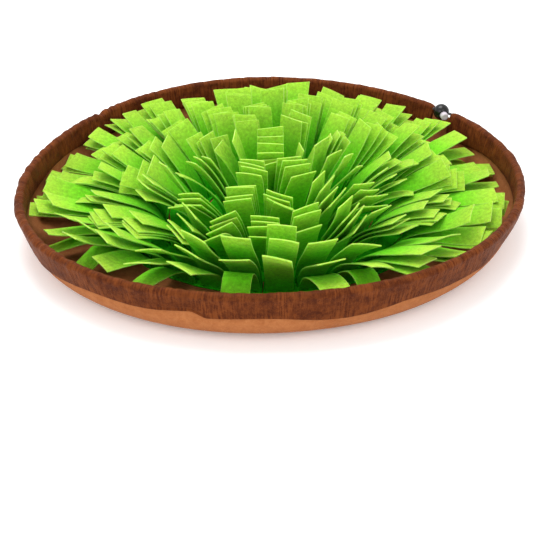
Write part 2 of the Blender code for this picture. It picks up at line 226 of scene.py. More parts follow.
def thicken(obj: Object, thickness: float, rounding: float) -> None:
    """Gives an open sheet its thickness, half to each side, and rounds its cut edges.

    Args:
        obj: The sheet.
        thickness: How thick it gets.
        rounding: How wide its rounded edges are.
    """
    solid = obj.modifiers.new("thickness", "SOLIDIFY")
    solid.thickness = thickness
    solid.offset = 0.0
    solid.use_even_offset = True
    edge = obj.modifiers.new("cut_edges", "BEVEL")
    edge.width = rounding
    edge.segments = CUT_EDGE_SEGMENTS
    edge.limit_method = "ANGLE"
    edge.angle_limit = CUT_EDGE_ANGLE
    edge.miter_outer = "MITER_SHARP"


@dataclass(frozen=True)
class Rim:
    """The line of the gathered rim, and the section of the cloth below it.

    A wave's row holds its count round the rim, and its cosine and sine in mm. A section's row holds how far
    inside the rim the cloth's middle lies, and its height, in mm. A belly's row holds its azimuth and its
    width in degrees, and its size in mm.
    """

    radius: float = 245.5 * MM
    top: float = 52.0 * MM
    roll: float = 4.5 * MM
    cloth: float = 2.0 * MM
    gap: float = 0.3 * MM
    radius_waves: Waves = (
        (2, 0.8, 2.8),
        (3, 2.1, -3.4),
        (4, 0.0, 2.0),
        (5, -0.1, 0.4),
    )
    height_waves: Waves = (
        (2, -0.9, -0.2),
        (3, -0.9, 0.3),
    )
    section: tuple[tuple[str, float, float], ...] = (
        ("foot", 34.0, 1.0),
        ("turn", 19.5, 4.0),
        ("flare", 10.5, 12.5),
        ("side", 6.2, 21.0),
        ("edge", 1.0, 43.0),
    )
    belly_rise: tuple[float, float] = (0.0, 9.0 * MM)
    belly_fall: tuple[float, float] = (12.0 * MM, 44.0 * MM)
    bellies: tuple[tuple[float, float, float], ...] = (
        (-98.0, 28.0, 5.6),
        (180.0, 13.0, 5.0),
        (0.0, 13.0, 4.5),
    )
    lock_azimuth: float = math.radians(39.0)
    lock_dip: float = 4.0 * MM
    dip_half_width: float = math.radians(1.0)
    dip_reach: float = math.radians(2.25)
    ear: float = 3.2 * MM
    ear_width: float = math.radians(0.45)

    @property
    def foot(self) -> float:
        """Gives the radius of the dish's flat floor."""
        return self.radius - self.section[0][1] * MM

    @property
    def edge(self) -> float:
        """Gives the height of the dish's upper edge."""
        return self.section[-1][2] * MM

    @property
    def middle(self) -> float:
        """Gives the height of the middle of the casing's roll."""
        return self.top - self.roll

    @staticmethod
    def waves(table: Waves, azimuth: float) -> float:
        """Adds up a table of cosine and sine waves round the rim, in metres."""
        return MM * sum(c * math.cos(n * azimuth) + s * math.sin(n * azimuth) for n, c, s in table)

    def radius_at(self, azimuth: float) -> float:
        """Gives the rim's radius at an azimuth."""
        return self.radius + self.waves(self.radius_waves, azimuth)

    def inset(self, height: float) -> float:
        """Gives how far inside the rim the middle of the dish's cloth lies.

        Args:
            height: The height on the cloth.

        Returns:
            The way in from the rim, in metres.
        """
        rows = [(inset * MM, level * MM) for _, inset, level in self.section]
        pairs = list(zip(rows, rows[1:]))
        (low_inset, low), (high_inset, high) = next((p for p in pairs if height <= p[1][1]), pairs[-1])
        return low_inset + (high_inset - low_inset) * (height - low) / (high - low)

    def follow(self, height: float, azimuth: float) -> float:
        """Gives the height of a point once the rim's own rise and fall is added."""
        above = max(0.0, height - self.cloth) / (self.top - self.cloth)
        return height + above * self.waves(self.height_waves, azimuth)

    def belly(self, azimuth: float, height: float) -> float:
        """Gives how far the low part of the side stands out.

        Args:
            azimuth: The place's azimuth.
            height: The place's height.

        Returns:
            The way out, in metres.
        """
        rise = smooth_step(*self.belly_rise, height) * (1.0 - smooth_step(*self.belly_fall, height))
        out = 0.0
        for centre, width, size in self.bellies:
            out += size * math.exp(-((degrees_from(math.radians(centre), azimuth) / width) ** 2))
        return MM * rise * out

    def dip(self, azimuth: float) -> float:
        """Gives how far the dish's edge dips under the cord lock; beside the lock it stands up a little.

        Args:
            azimuth: The place's azimuth.

        Returns:
            The way down, in metres.
        """
        away = abs(math.remainder(azimuth - self.lock_azimuth, math.tau))
        low = min(1.0, max(0.0, (self.dip_reach - away) / (self.dip_reach - self.dip_half_width)))
        return self.lock_dip * low - self.ear * math.exp(-(((away - self.dip_reach) / self.ear_width) ** 2))


# --------------------------------------------------------------------------------------------------
# Finishes


class Graph:
    """Adds nodes to one node tree and joins them."""

    def __init__(self, tree: Tree) -> None:
        """Takes the tree that the nodes go into."""
        self.tree = tree

    def add(self, kind: str, inputs: dict | None = None, **settings: object) -> Node:
        """Adds a node.

        Args:
            kind: The node's type name.
            inputs: Its inputs by name or number, each a value or another node's socket.
            settings: Its own properties.

        Returns:
            The node.
        """
        node = self.tree.nodes.new(kind)
        for name, value in settings.items():
            setattr(node, name, value)
        for key, value in (inputs or {}).items():
            if isinstance(value, Socket):
                self.tree.links.new(value, node.inputs[key])
            else:
                node.inputs[key].default_value = value
        return node

    def join(self, node: Node, inputs: dict[str, Socket]) -> None:
        """Joins sockets to the inputs of a node that is there already."""
        for key, socket in inputs.items():
            self.tree.links.new(socket, node.inputs[key])

    def math(self, operation: str, *values: object, clamp: bool = False) -> Socket:
        """Adds a Math node on values or sockets and gives its result."""
        inputs = dict(enumerate(values))
        return self.add("ShaderNodeMath", inputs, operation=operation, use_clamp=clamp).outputs[0]

    def total(self, *parts: tuple[Socket, object], plus: object = 0.0, clamp: bool = False) -> Socket:
        """Adds up values, each times its weight.

        Args:
            parts: The values and their weights.
            plus: What is added to them.
            clamp: Whether the total is kept from 0 to 1.

        Returns:
            The total.
        """
        result = plus
        for count, (value, weight) in enumerate(parts, start=1):
            last = count == len(parts)
            result = self.math("MULTIPLY_ADD", value, weight, result, clamp=clamp and last)
        return result

    def mix(self, share: object, first: object, second: object, blend: str = "MIX") -> Socket:
        """Adds a Mix node on two colours.

        Args:
            share: How much of the second colour there is.
            first: The first colour.
            second: The second colour.
            blend: How the second colour is laid on the first.

        Returns:
            The mixed colour.
        """
        inputs = {"Factor": share, 6: first, 7: second}
        node = self.add("ShaderNodeMix", inputs, data_type="RGBA", blend_type=blend, clamp_factor=True)
        return node.outputs[2]

    def spread(self, value: Socket, low: float, high: float) -> Socket:
        """Maps a value from low..high to 0..1, smoothly and without leaving that range."""
        inputs = {"Value": value, "From Min": low, "From Max": high}
        return self.add("ShaderNodeMapRange", inputs, interpolation_type="SMOOTHSTEP").outputs[0]

    def noise(self, place: Socket, scale: object, **inputs: float) -> Node:
        """Adds a Noise Texture; the inputs are by name, such as Detail."""
        return self.add("ShaderNodeTexNoise", {"Vector": place, "Scale": scale, **inputs})

    def attribute(self, name: str) -> Socket:
        """Reads a number that the mesh carries."""
        return self.add("ShaderNodeAttribute", attribute_name=name).outputs["Fac"]

    def object_place(self) -> Socket:
        """Reads the place on the object."""
        return self.add("ShaderNodeTexCoord").outputs["Object"]

    def cloth_place(self) -> Socket:
        """Reads the place on the cloth's own map, in metres."""
        return self.add("ShaderNodeUVMap", uv_map="cloth").outputs[0]


def rgba(colour: Colour) -> tuple[float, float, float, float]:
    """Gives a colour its alpha."""
    return (*colour, 1.0)


def new_group(name: str, inputs: dict[str, float], outputs: Sequence[str]) -> tuple[Graph, Node, Node]:
    """Makes an empty shader node group that has a place among its inputs.

    Args:
        name: The group's name.
        inputs: The names and defaults of its numbers.
        outputs: The names of the numbers that it gives.

    Returns:
        The graph of the group, with its input node and its output node.
    """
    tree = bpy.data.node_groups.new(name, "ShaderNodeTree")
    tree.interface.new_socket(name="Vector", in_out="INPUT", socket_type="NodeSocketVector")
    for label, default in inputs.items():
        socket = tree.interface.new_socket(name=label, in_out="INPUT", socket_type="NodeSocketFloat")
        socket.default_value = default
    for label in outputs:
        tree.interface.new_socket(name=label, in_out="OUTPUT", socket_type="NodeSocketFloat")
    graph = Graph(tree)
    return graph, graph.add("NodeGroupInput"), graph.add("NodeGroupOutput")


@dataclass
class Effects:
    """The node groups that the finishes share. Their sizes are in mm."""

    grain: Tree = field(init=False)
    nap: Tree = field(init=False)
    weave: Tree = field(init=False)

    def __post_init__(self) -> None:
        """Builds each group once."""
        self.grain = self.build_grain()
        self.nap = self.build_nap()
        self.weave = self.build_weave()

    def fibres(self, graph: Graph, place: Socket, size: float) -> tuple[Socket, Socket]:
        """Places matted fibres in a graph and gives their height and their flecks."""
        node = graph.add("ShaderNodeGroup", {"Vector": place, "Fibre size": size}, node_tree=self.grain)
        return node.outputs["Height"], node.outputs["Fleck"]

    def patches(self, graph: Graph, place: Socket, size: float, contrast: float) -> Socket:
        """Places soft patches in a graph and gives them, from 0 to 1."""
        inputs = {"Vector": place, "Patch size": size, "Contrast": contrast}
        return graph.add("ShaderNodeGroup", inputs, node_tree=self.nap).outputs["Patch"]

    def threads(self, graph: Graph, place: Socket, size: float) -> tuple[Socket, Socket]:
        """Places a plain weave in a graph and gives its height, and a mask of the threads that lie on top."""
        node = graph.add("ShaderNodeGroup", {"Vector": place, "Thread": size}, node_tree=self.weave)
        return node.outputs["Height"], node.outputs["Over"]

    @staticmethod
    def build_grain(warp_scale: float = 180.0, warp_reach: float = 0.004) -> Tree:
        """Builds matted fibres: a fine height, and flecks that are lighter and darker than the ground.

        Args:
            warp_scale: How fine the noise is that bends the fibres.
            warp_reach: How far it bends them, in metres.

        Returns:
            The group.
        """
        graph, source, sink = new_group("fibre_grain", {"Fibre size": 1.0}, ("Height", "Fleck"))
        scale = graph.math("DIVIDE", 1.0 / MM, source.outputs["Fibre size"])
        warp = graph.noise(source.outputs["Vector"], warp_scale, Detail=2.0).outputs["Color"]
        shift = graph.add("ShaderNodeVectorMath", {0: warp, "Scale": warp_reach}, operation="SCALE")
        bent = graph.add(
            "ShaderNodeVectorMath", {0: source.outputs["Vector"], 1: shift.outputs[0]}, operation="ADD"
        ).outputs[0]
        fine = graph.noise(bent, scale, Detail=4.0, Roughness=0.65).outputs["Fac"]
        coarse = graph.noise(bent, graph.math("MULTIPLY", scale, 0.28), Detail=3.0).outputs["Fac"]
        cell_inputs = {"Vector": bent, "Scale": graph.math("MULTIPLY", scale, 0.6)}
        cells = graph.add("ShaderNodeTexVoronoi", cell_inputs, feature="DISTANCE_TO_EDGE")
        hair = graph.math("ADD", 0.55, graph.spread(cells.outputs["Distance"], 0.0, 0.16))
        height = graph.total((fine, hair), (coarse, 0.5))
        graph.join(sink, {"Height": height, "Fleck": graph.total((fine, 1.0), (coarse, 1.0), plus=-1.0)})
        return graph.tree

    @staticmethod
    def build_nap() -> Tree:
        """Builds the soft patches where a nap lies one way or the other.

        Returns:
            The group.
        """
        graph, source, sink = new_group("nap_patches", {"Patch size": 20.0, "Contrast": 1.0}, ("Patch",))
        scale = graph.math("DIVIDE", 1.0 / MM, source.outputs["Patch size"])
        soft = graph.noise(source.outputs["Vector"], scale, Detail=3.0, Distortion=0.6).outputs["Fac"]
        centred = graph.math("SUBTRACT", soft, 0.5)
        patch = graph.total((centred, source.outputs["Contrast"]), plus=0.5, clamp=True)
        graph.join(sink, {"Patch": patch})
        return graph.tree

    @staticmethod
    def build_weave() -> Tree:
        """Builds a plain weave on a map of metres: its height, and a mask of the threads that lie on top.

        Returns:
            The group.
        """
        graph, source, sink = new_group("plain_weave", {"Thread": 0.5}, ("Height", "Over"))
        turns = graph.math("DIVIDE", math.pi / MM, source.outputs["Thread"])
        split = graph.add("ShaderNodeSeparateXYZ", {0: source.outputs["Vector"]})
        across, along = (
            graph.math("SINE", graph.math("MULTIPLY", split.outputs[axis], turns)) for axis in ("X", "Y")
        )
        over = graph.math("MULTIPLY", across, along)
        crest = graph.math("MAXIMUM", graph.math("ABSOLUTE", across), graph.math("ABSOLUTE", along))
        height = graph.total((over, 0.35), plus=crest)
        graph.join(sink, {"Height": height, "Over": graph.spread(over, -0.6, 0.6)})
        return graph.tree


@dataclass(frozen=True)
class Shading:
    """The values that are the same all over one finish."""

    roughness: float
    specular: float = 0.5
    sheen: float = 0.0
    sheen_roughness: float = 0.5
    sheen_tint: Colour = (1.0, 1.0, 1.0)
    subsurface: float = 0.0
    subsurface_radius: Colour = (1.0, 1.0, 1.0)
    subsurface_scale: float = 0.001
    coat: float = 0.0
    coat_roughness: float = 0.1

    def begin(self, name: str) -> tuple[Graph, Node, Material]:
        """Makes a material whose shader has these values.

        Args:
            name: The material's name.

        Returns:
            The material's graph, its shader and the material.
        """
        material = bpy.data.materials.new(name)
        material.use_nodes = True
        shader = material.node_tree.nodes["Principled BSDF"]
        values = {
            "Roughness": self.roughness,
            "Specular IOR Level": self.specular,
            "Sheen Weight": self.sheen,
            "Sheen Roughness": self.sheen_roughness,
            "Sheen Tint": rgba(self.sheen_tint),
            "Subsurface Weight": self.subsurface,
            "Subsurface Radius": self.subsurface_radius,
            "Subsurface Scale": self.subsurface_scale,
            "Coat Weight": self.coat,
            "Coat Roughness": self.coat_roughness,
        }
        for label, value in values.items():
            shader.inputs[label].default_value = value
        return Graph(material.node_tree), shader, material


def finish_with(
    graph: Graph, shader: Node, colour: Socket, roughness: Socket, height: Socket, depth: float
) -> None:
    """Joins a colour, a roughness and a height to a shader.

    Args:
        graph: The material's graph.
        shader: Its shader.
        colour: The colour over the surface.
        roughness: The roughness over the surface.
        height: The height of its relief, about 0 to 1.
        depth: How deep that relief is, in metres.
    """
    bump = graph.add("ShaderNodeBump", {"Height": height, "Strength": 1.0, "Distance": depth})
    graph.join(shader, {"Base Color": colour, "Roughness": roughness, "Normal": bump.outputs[0]})


@dataclass(frozen=True)
class FeltFinish:
    """Matted lime felt with painted light and shade: yellower tips for the lit tops, deeper green roots for
    the shade between strips, and a painted highlight on its cut edges.

    The shares are how far along a strip each colour comes in. The nap holds its patches' size and contrast.
    """

    # The tip, middle and root colours paint light and shade: the yellower tip stands for light on the tops,
    # the deep green root for the shade down between the strips.
    tip: Colour = (0.32, 0.55, 0.042)
    middle: Colour = (0.135, 0.52, 0.012)
    root: Colour = (0.022, 0.42, 0.004)
    # The cut colour is a painted highlight: a paler line along each strip's sides and tip, faded out towards
    # the root.
    cut: Colour = (0.55, 0.80, 0.20)
    half_width: float = 13.0
    edge_highlight_width: float = 0.55
    edge_highlight_core: float = 0.25
    edge_highlight_strength: float = 0.35
    # Where the painted root shade gives way to the middle colour, and that to the painted light of the tip.
    middle_shares: tuple[float, float] = (0.05, 0.65)
    tip_shares: tuple[float, float] = (0.55, 1.05)
    edge_highlight_shares: tuple[float, float] = (0.1, 0.6)
    fibre: float = 0.9
    nap: tuple[float, float] = (22.0, 1.2)
    fleck: float = 0.9
    tone: float = 0.09
    patch: float = 0.18
    least: float = 0.91
    depth: float = 0.16 * MM

    def build(self, effects: Effects) -> Material:
        """Makes the material, which reads the numbers that each strip carries.

        Args:
            effects: The shared node groups.

        Returns:
            The material.
        """
        shading = Shading(
            roughness=0.95,
            specular=0.08,
            subsurface=0.6,
            subsurface_radius=(0.4, 1.0, 0.1),
            subsurface_scale=4.0 * MM,
            sheen=0.06,
            sheen_roughness=0.4,
            sheen_tint=(0.6, 0.95, 0.2),
        )
        graph, shader, material = shading.begin("felt")
        place = graph.object_place()
        height, fleck = effects.fibres(graph, place, self.fibre)
        patch = effects.patches(graph, place, *self.nap)
        share = graph.attribute("share")
        # Painted light and shade: deep green at the roots where shade falls, yellower towards the lit tips.
        ground = graph.mix(graph.spread(share, *self.middle_shares), rgba(self.root), rgba(self.middle))
        ground = graph.mix(graph.spread(share, *self.tip_shares), ground, rgba(self.tip))
        parts = (fleck, self.fleck), (graph.attribute("tone"), self.tone), (patch, self.patch)
        light = graph.total(*parts, plus=self.least)
        shade = graph.add("ShaderNodeCombineColor", {0: light, 1: light, 2: light}).outputs[0]
        ground = graph.mix(1.0, ground, shade, "MULTIPLY")
        # Painted highlight: a mask along the strip's sides and tip, faded out towards the root, lays the
        # paler cut colour on the felt.
        side = graph.math("SUBTRACT", self.half_width, graph.math("ABSOLUTE", graph.attribute("side")))
        nearest = graph.math("MINIMUM", side, graph.attribute("tip"))
        inner = graph.spread(nearest, self.edge_highlight_core * self.edge_highlight_width, self.edge_highlight_width)
        edge = graph.math("SUBTRACT", 1.0, inner)
        edge = graph.math("MULTIPLY", edge, graph.spread(share, *self.edge_highlight_shares))
        colour = graph.mix(graph.math("MULTIPLY", edge, self.edge_highlight_strength), ground, rgba(self.cut))
        rough = graph.total((fleck, 0.2), plus=0.9, clamp=True)
        finish_with(graph, shader, colour, rough, height, self.depth)
        return material


@dataclass(frozen=True)
class SuedeFinish:
    """Brushed cloth with a short nap: orange-brown, in soft patches that each have a size and a contrast."""

    light: Colour = (0.45, 0.168, 0.057)
    dark: Colour = (0.31, 0.095, 0.027)
    fibre: float = 0.8
    large_nap: tuple[float, float] = (38.0, 2.2)
    small_nap: tuple[float, float] = (7.0, 1.6)
    depth: float = 0.18 * MM

    def build(self, effects: Effects) -> Material:
        """Makes the material.

        Args:
            effects: The shared node groups.

        Returns:
            The material.
        """
        shading = Shading(roughness=0.9, specular=0.12, sheen=0.08, sheen_tint=(1.0, 0.6, 0.35))
        graph, shader, material = shading.begin("suede_cloth")
        place = graph.object_place()
        height, fleck = effects.fibres(graph, place, self.fibre)
        large = effects.patches(graph, place, *self.large_nap)
        small = effects.patches(graph, place, *self.small_nap)
        share = graph.total((small, 0.55), (large, 0.45), (fleck, 1.1), clamp=True)
        colour = graph.mix(share, rgba(self.dark), rgba(self.light))
        rough = graph.total((fleck, 0.3), plus=0.86, clamp=True)
        finish_with(graph, shader, colour, rough, height, self.depth)
        return material


@dataclass(frozen=True)
class CasingFinish:
    """Thin dark brown cloth with a slight sheen, drawn into fine puckers, with painted shade: darker down the
    puckers' troughs and lighter on their crests.
    """

    light: Colour = (0.175, 0.044, 0.009)
    dark: Colour = (0.060, 0.012, 0.003)
    fibre: float = 1.2
    thread: float = 0.45
    streak: float = 0.10
    streak_scale: float = 560.0
    # How the pucker relief maps to its painted shade and light.
    pucker_shade_range: tuple[float, float] = (0.28, 0.74)
    drawn: tuple[float, float] = (30.0, 3.0)
    worn: tuple[float, float] = (9.0, 2.0)
    depth: float = 0.6 * MM

    def build(self, effects: Effects) -> Material:
        """Makes the material, whose pattern follows the cloth's own map.

        Args:
            effects: The shared node groups.

        Returns:
            The material.
        """
        shading = Shading(
            roughness=0.7, specular=0.06, sheen=0.03, sheen_roughness=0.4, sheen_tint=(1.0, 0.5, 0.25)
        )
        graph, shader, material = shading.begin("casing_cloth")
        place = graph.cloth_place()
        weave, over = effects.threads(graph, place, self.thread)
        _, fleck = effects.fibres(graph, place, self.fibre)
        streaks = graph.add("ShaderNodeMapping", {"Vector": place, "Scale": (1.0, self.streak, 1.0)})
        pucker = graph.noise(streaks.outputs[0], self.streak_scale, Detail=4.0, Distortion=0.25)
        pucker = pucker.outputs["Fac"]
        drawn = effects.patches(graph, place, *self.drawn)
        worn = effects.patches(graph, place, *self.worn)
        # Painted shade: the colour follows the pucker relief, darker in its troughs and lighter on its
        # crests.
        painted_pucker_shade = graph.math("SUBTRACT", graph.spread(pucker, *self.pucker_shade_range), 0.5)
        parts = (drawn, 0.5), (worn, 0.5), (fleck, 1.3), (over, 0.12)
        share = graph.total((painted_pucker_shade, graph.math("MULTIPLY", drawn, 1.2)), *parts, plus=-0.06, clamp=True)
        colour = graph.mix(share, rgba(self.dark), rgba(self.light))
        rough = graph.total((pucker, -0.2), plus=0.66)
        finish_with(graph, shader, colour, rough, graph.total((weave, 0.12), plus=pucker), self.depth)
        return material


@dataclass(frozen=True)
class PlasticFinish:
    """Moulded plastic with a fine skin and a few handling marks."""

    name: str
    colour: Colour
    worn: Colour
    roughness: float
    coat: float
    fibre: float = 0.7
    smudges: tuple[float, float] = (6.0, 2.5)
    depth: float = 0.015 * MM

    def build(self, effects: Effects) -> Material:
        """Makes the material.

        Args:
            effects: The shared node groups.

        Returns:
            The material.
        """
        shading = Shading(roughness=self.roughness, specular=0.3, coat=self.coat, coat_roughness=0.08)
        graph, shader, material = shading.begin(self.name)
        place = graph.object_place()
        height, _ = effects.fibres(graph, place, self.fibre)
        smudge = effects.patches(graph, place, *self.smudges)
        colour = graph.mix(graph.math("MULTIPLY", smudge, 0.35), rgba(self.colour), rgba(self.worn))
        rough = graph.total((smudge, 0.16), plus=self.roughness - 0.06, clamp=True)
        finish_with(graph, shader, colour, rough, height, self.depth)
        return material


@dataclass(frozen=True)
class CordFinish:
    """Round braided cord."""

    colour: Colour = (0.016, 0.014, 0.013)
    light: Colour = (0.05, 0.045, 0.04)
    thread: float = 0.9
    braid_turn: float = math.radians(45)
    depth: float = 0.2 * MM

    def build(self, effects: Effects) -> Material:
        """Makes the material, whose braid follows the cord's own map.

        Args:
            effects: The shared node groups.

        Returns:
            The material.
        """
        graph, shader, material = Shading(roughness=0.75, sheen=0.3).begin("braided_cord")
        turn = {"Vector": graph.cloth_place(), "Rotation": (0.0, 0.0, self.braid_turn)}
        turned = graph.add("ShaderNodeMapping", turn).outputs[0]
        height, over = effects.threads(graph, turned, self.thread)
        colour = graph.mix(over, rgba(self.colour), rgba(self.light))
        rough = graph.total((over, -0.15), plus=0.85)
        finish_with(graph, shader, colour, rough, height, self.depth)
        return material


# --------------------------------------------------------------------------------------------------
# The dish and its casing


@dataclass
class Dish:
    """The round of cloth whose side the drawstring gathers up.

    A gather's row holds its strength, how fast it changes with the azimuth in radians and with the height in
    metres, and its own slice of the noise.
    """

    rim: Rim
    steps: int = 540
    flat_share: float = 0.45
    corner: float = 2.5 * MM
    corner_rounds: int = 2
    gather_size: float = 0.9 * MM
    gathers: tuple[tuple[float, float, float, float], ...] = (
        (1.0, 15.5, 40.0, 3.0),
        (0.5, 38.75, 25.0, 7.0),
    )
    gather_rise: tuple[float, float] = (2.5 * MM, 30.0 * MM)
    gather_end: tuple[float, float] = (34.0 * MM, 40.0 * MM)
    inwards_from: tuple[float, float] = (17.0 * MM, 23.0 * MM)
    cut_rounding: float = 0.5 * MM
    gather_cloth: float = 50.0 * MM
    disc_share: float = 0.785

    def section(self) -> Line:
        """Gives the middle line of the cloth.

        Returns:
            The line from the centre out, as (radius, height).
        """
        rim = self.rim
        floor = rim.section[0][2] * MM
        line = [(0.0, floor), (self.flat_share * rim.radius, floor)]
        line += [(rim.radius - inset * MM, level * MM) for _, inset, level in rim.section]
        return round_corners(hold_corners(line, self.corner), self.corner_rounds)

    def wrinkle(self, azimuth: float, height: float) -> float:
        """Gives how far the gathered side stands out. Close below the casing it only goes inwards.

        Args:
            azimuth: The place's azimuth.
            height: The place's height.

        Returns:
            The way out, in metres.
        """
        fold = 0.0
        for strength, around, up, piece in self.gathers:
            fold += strength * soft_noise(around * azimuth, up * height, piece)
        outwards = 1.0 - smooth_step(*self.inwards_from, height)
        fold = min(fold, 0.0) + outwards * max(fold, 0.0)
        rise = smooth_step(*self.gather_rise, height)
        return self.gather_size * fold * rise * (1.0 - smooth_step(*self.gather_end, height))

    def build(self, material: Material) -> Object:
        """Makes the dish, which stands for both of its nodes.

        Args:
            material: Its finish.

        Returns:
            The dish.
        """
        rim = self.rim
        bm = bmesh.new()
        spin_line(bm, self.section(), rim.lock_azimuth, math.tau, self.steps)
        side = rim.section[-2][2] * MM
        for vert in bm.verts:
            azimuth = math.atan2(vert.co.y, vert.co.x)
            radius = math.hypot(vert.co.x, vert.co.y)
            height = vert.co.z
            if height > side:
                height -= rim.dip(azimuth) * (height - side) / (rim.edge - side)
                radius += rim.inset(vert.co.z) - rim.inset(height)
            radius += rim.waves(rim.radius_waves, azimuth) * min(1.0, radius / rim.foot)
            radius += self.wrinkle(azimuth, height) + rim.belly(azimuth, height)
            vert.co = polar(radius, azimuth, rim.follow(height, azimuth))
        obj = finished_object("dish_cloth", bm, material, Body.MAT, Slot.DISH, ["dish", "dish_floor"])
        thicken(obj, rim.cloth, self.cut_rounding)
        return obj


@dataclass
class Casing:
    """The strip that folds over the dish's edge and holds the drawstring in its roll.

    A noise's row holds how far apart its waves are along the rim and up the band, in mm, and its own slice.
    A wave's row holds its count round the rim, its size in mm and its phase in degrees. The rise and fall of
    the tuck and of its crease are in degrees from the tuck's azimuth.
    """

    rim: Rim
    cloth: float = 1.6 * MM
    outer_hem: float = 25.0 * MM
    inner_hem: float = 28.0 * MM
    hem_fold: float = 0.5 * MM
    band_steps: int = 16
    lining_steps: int = 6
    roll_step: int = 12
    bulge: float = 0.7 * MM
    flat_width: float = 62.0 * MM
    start: float = math.radians(41.7)
    end: float = math.radians(36.0 + 360.0)
    steps: int = 1100
    face_margin: float = 0.4 * MM
    fold_margin: float = 0.5 * MM
    pucker: float = 0.85 * MM
    wide_pucker: float = 0.8
    mean_strength: float = 0.55
    least_tight: float = 0.35
    tight_margins: tuple[float, float] = (6.0 * MM, 4.0 * MM)
    closing: float = 8.5 * MM
    side_end: float = 0.62
    roll_end: float = 0.22
    end_slant: float = 2.6 * MM
    lumps: float = 1.1 * MM
    lump_side: tuple[float, float] = (0.2, 0.9)
    lump_heights: tuple[float, float] = (34.0 * MM, 46.0 * MM)
    lump_noise: tuple[float, float, float] = (7.0, 30.0, 12.0)
    close_noise: tuple[float, float, float] = (5.5, 16.0, 1.0)
    wide_noise: tuple[float, float, float] = (15.0, 24.0, 5.0)
    strength_noise: tuple[float, float] = (110.0, 9.0)
    hem_reach: float = 16.0 * MM
    tuck: float = 7.0 * MM
    tuck_azimuth: float = math.radians(247.0)
    tuck_rise: tuple[float, float] = (-13.0, 5.5)
    tuck_fall: tuple[float, float] = (6.2, 10.2)
    tuck_bulge: float = 0.12
    tuck_height: float = 9.0 * MM
    crease: float = 1.0 * MM
    crease_height: float = 2.6 * MM
    crease_width: float = 0.9 * MM
    crease_rise: tuple[float, float] = (-3.0, 1.0)
    crease_fall: tuple[float, float] = (8.0, 10.0)
    pinch: float = 2.6 * MM
    pinch_azimuth: float = math.radians(141.0)
    pinch_width: float = 1.1
    hem_waves: Waves = (
        (4, 1.3, 156.0),
        (10, 2.2, 300.0),
        (17, 0.5, 65.0),
    )
    pucker_waves: Waves = (
        (17, 0.35, 10.0),
        (23, 0.3, 200.0),
    )

    @property
    def inside(self) -> float:
        """Gives how far the strip's inner faces lie from the middle of the dish's cloth."""
        return self.rim.cloth / 2 + self.rim.gap

    @property
    def ceiling(self) -> float:
        """Gives the height of the strip's fold over the dish's edge."""
        return self.rim.edge + 2 * self.rim.gap

    def section(self) -> Line:
        """Gives the closed section.

        Returns:
            The section as (offset from the middle of the dish's cloth, height).
        """
        rim = self.rim
        inside, ceiling, fold = self.inside, self.ceiling, self.hem_fold
        outside = inside + self.cloth
        roll = [
            (rim.roll * math.cos(math.radians(a)), rim.middle + rim.roll * math.sin(math.radians(a)))
            for a in range(0, 181, self.roll_step)
        ]
        hem, lining_hem = self.outer_hem, self.inner_hem
        lining = reversed(self.wall(outside, lining_hem, self.lining_steps))
        return [
            (inside + fold, hem),
            (outside - fold, hem),
            (outside, hem + fold),
            *self.wall(outside, hem, self.band_steps),
            *roll,
            *((-offset, height) for offset, height in lining),
            (-outside, lining_hem + fold),
            (-outside + fold, lining_hem),
            (-inside - fold, lining_hem),
            (-inside, lining_hem + fold),
            (-inside, ceiling),
            (inside, ceiling),
            (inside, hem + fold),
        ]

    def wall(self, outside: float, hem: float, steps: int) -> Line:
        """Gives a side of the casing between its hem and its roll, which it runs into smoothly.

        Args:
            outside: The side's offset at its hem.
            hem: The height of the hem.
            steps: How many faces high the side is.

        Returns:
            Its inner points, from the hem up.
        """
        line = []
        for i in range(1, steps):
            share = i / steps
            grown = (self.rim.roll - outside) * share * share + self.bulge * math.sin(math.pi * share)
            line.append((outside + grown, hem + (self.rim.middle - hem) * share))
        return line

    @staticmethod
    def ripple(table: Waves, azimuth: float) -> float:
        """Adds up a table of waves that each have a size and a phase, in metres."""
        return MM * sum(size * math.sin(n * azimuth + math.radians(phase)) for n, size, phase in table)

    def tucked(self, azimuth: float) -> float:
        """Gives how far the outer hem is drawn up in its tuck, in metres."""
        away = degrees_from(self.tuck_azimuth, azimuth)
        return self.tuck * smooth_step(*self.tuck_rise, away) * (1.0 - smooth_step(*self.tuck_fall, away))

    def creased(self, azimuth: float, above: float) -> float:
        """Gives how deep the tuck's crease is.

        Args:
            azimuth: The place's azimuth.
            above: The place's height above the outer hem.

        Returns:
            The crease's depth there, in metres.
        """
        away = degrees_from(self.tuck_azimuth, azimuth)
        along = smooth_step(*self.crease_rise, away) * (1.0 - smooth_step(*self.crease_fall, away))
        return self.crease * along * math.exp(-(((above - self.crease_height) / self.crease_width) ** 2))

    def pinch_at(self, azimuth: float) -> float:
        """Gives how far the top of the roll is pinched in, in metres."""
        return self.pinch * math.exp(-((degrees_from(self.pinch_azimuth, azimuth) / self.pinch_width) ** 2))

    def fine_pucker(self, azimuth: float, height: float) -> float:
        """Gives how far the gathered cloth stands out, with its lumps at the left.

        Args:
            azimuth: The place's azimuth.
            height: The place's height.

        Returns:
            The way out, in metres.
        """
        arc, level = self.rim.radius * azimuth / MM, height / MM
        lump, close, wide = (
            soft_noise(arc / along, level / up, piece)
            for along, up, piece in (self.lump_noise, self.close_noise, self.wide_noise)
        )
        left = smooth_step(*self.lump_side, -math.cos(azimuth)) * smooth_step(*self.lump_heights, height)
        along, piece = self.strength_noise
        strength = self.mean_strength + (1.0 - self.mean_strength) * soft_noise(arc / along, piece)
        below, above = self.tight_margins
        tight = smooth_step(self.outer_hem + below, self.rim.top - above, height)
        tight = self.least_tight + (1.0 - self.least_tight) * tight
        return self.lumps * left * lump + self.pucker * tight * (strength * close + self.wide_pucker * wide)

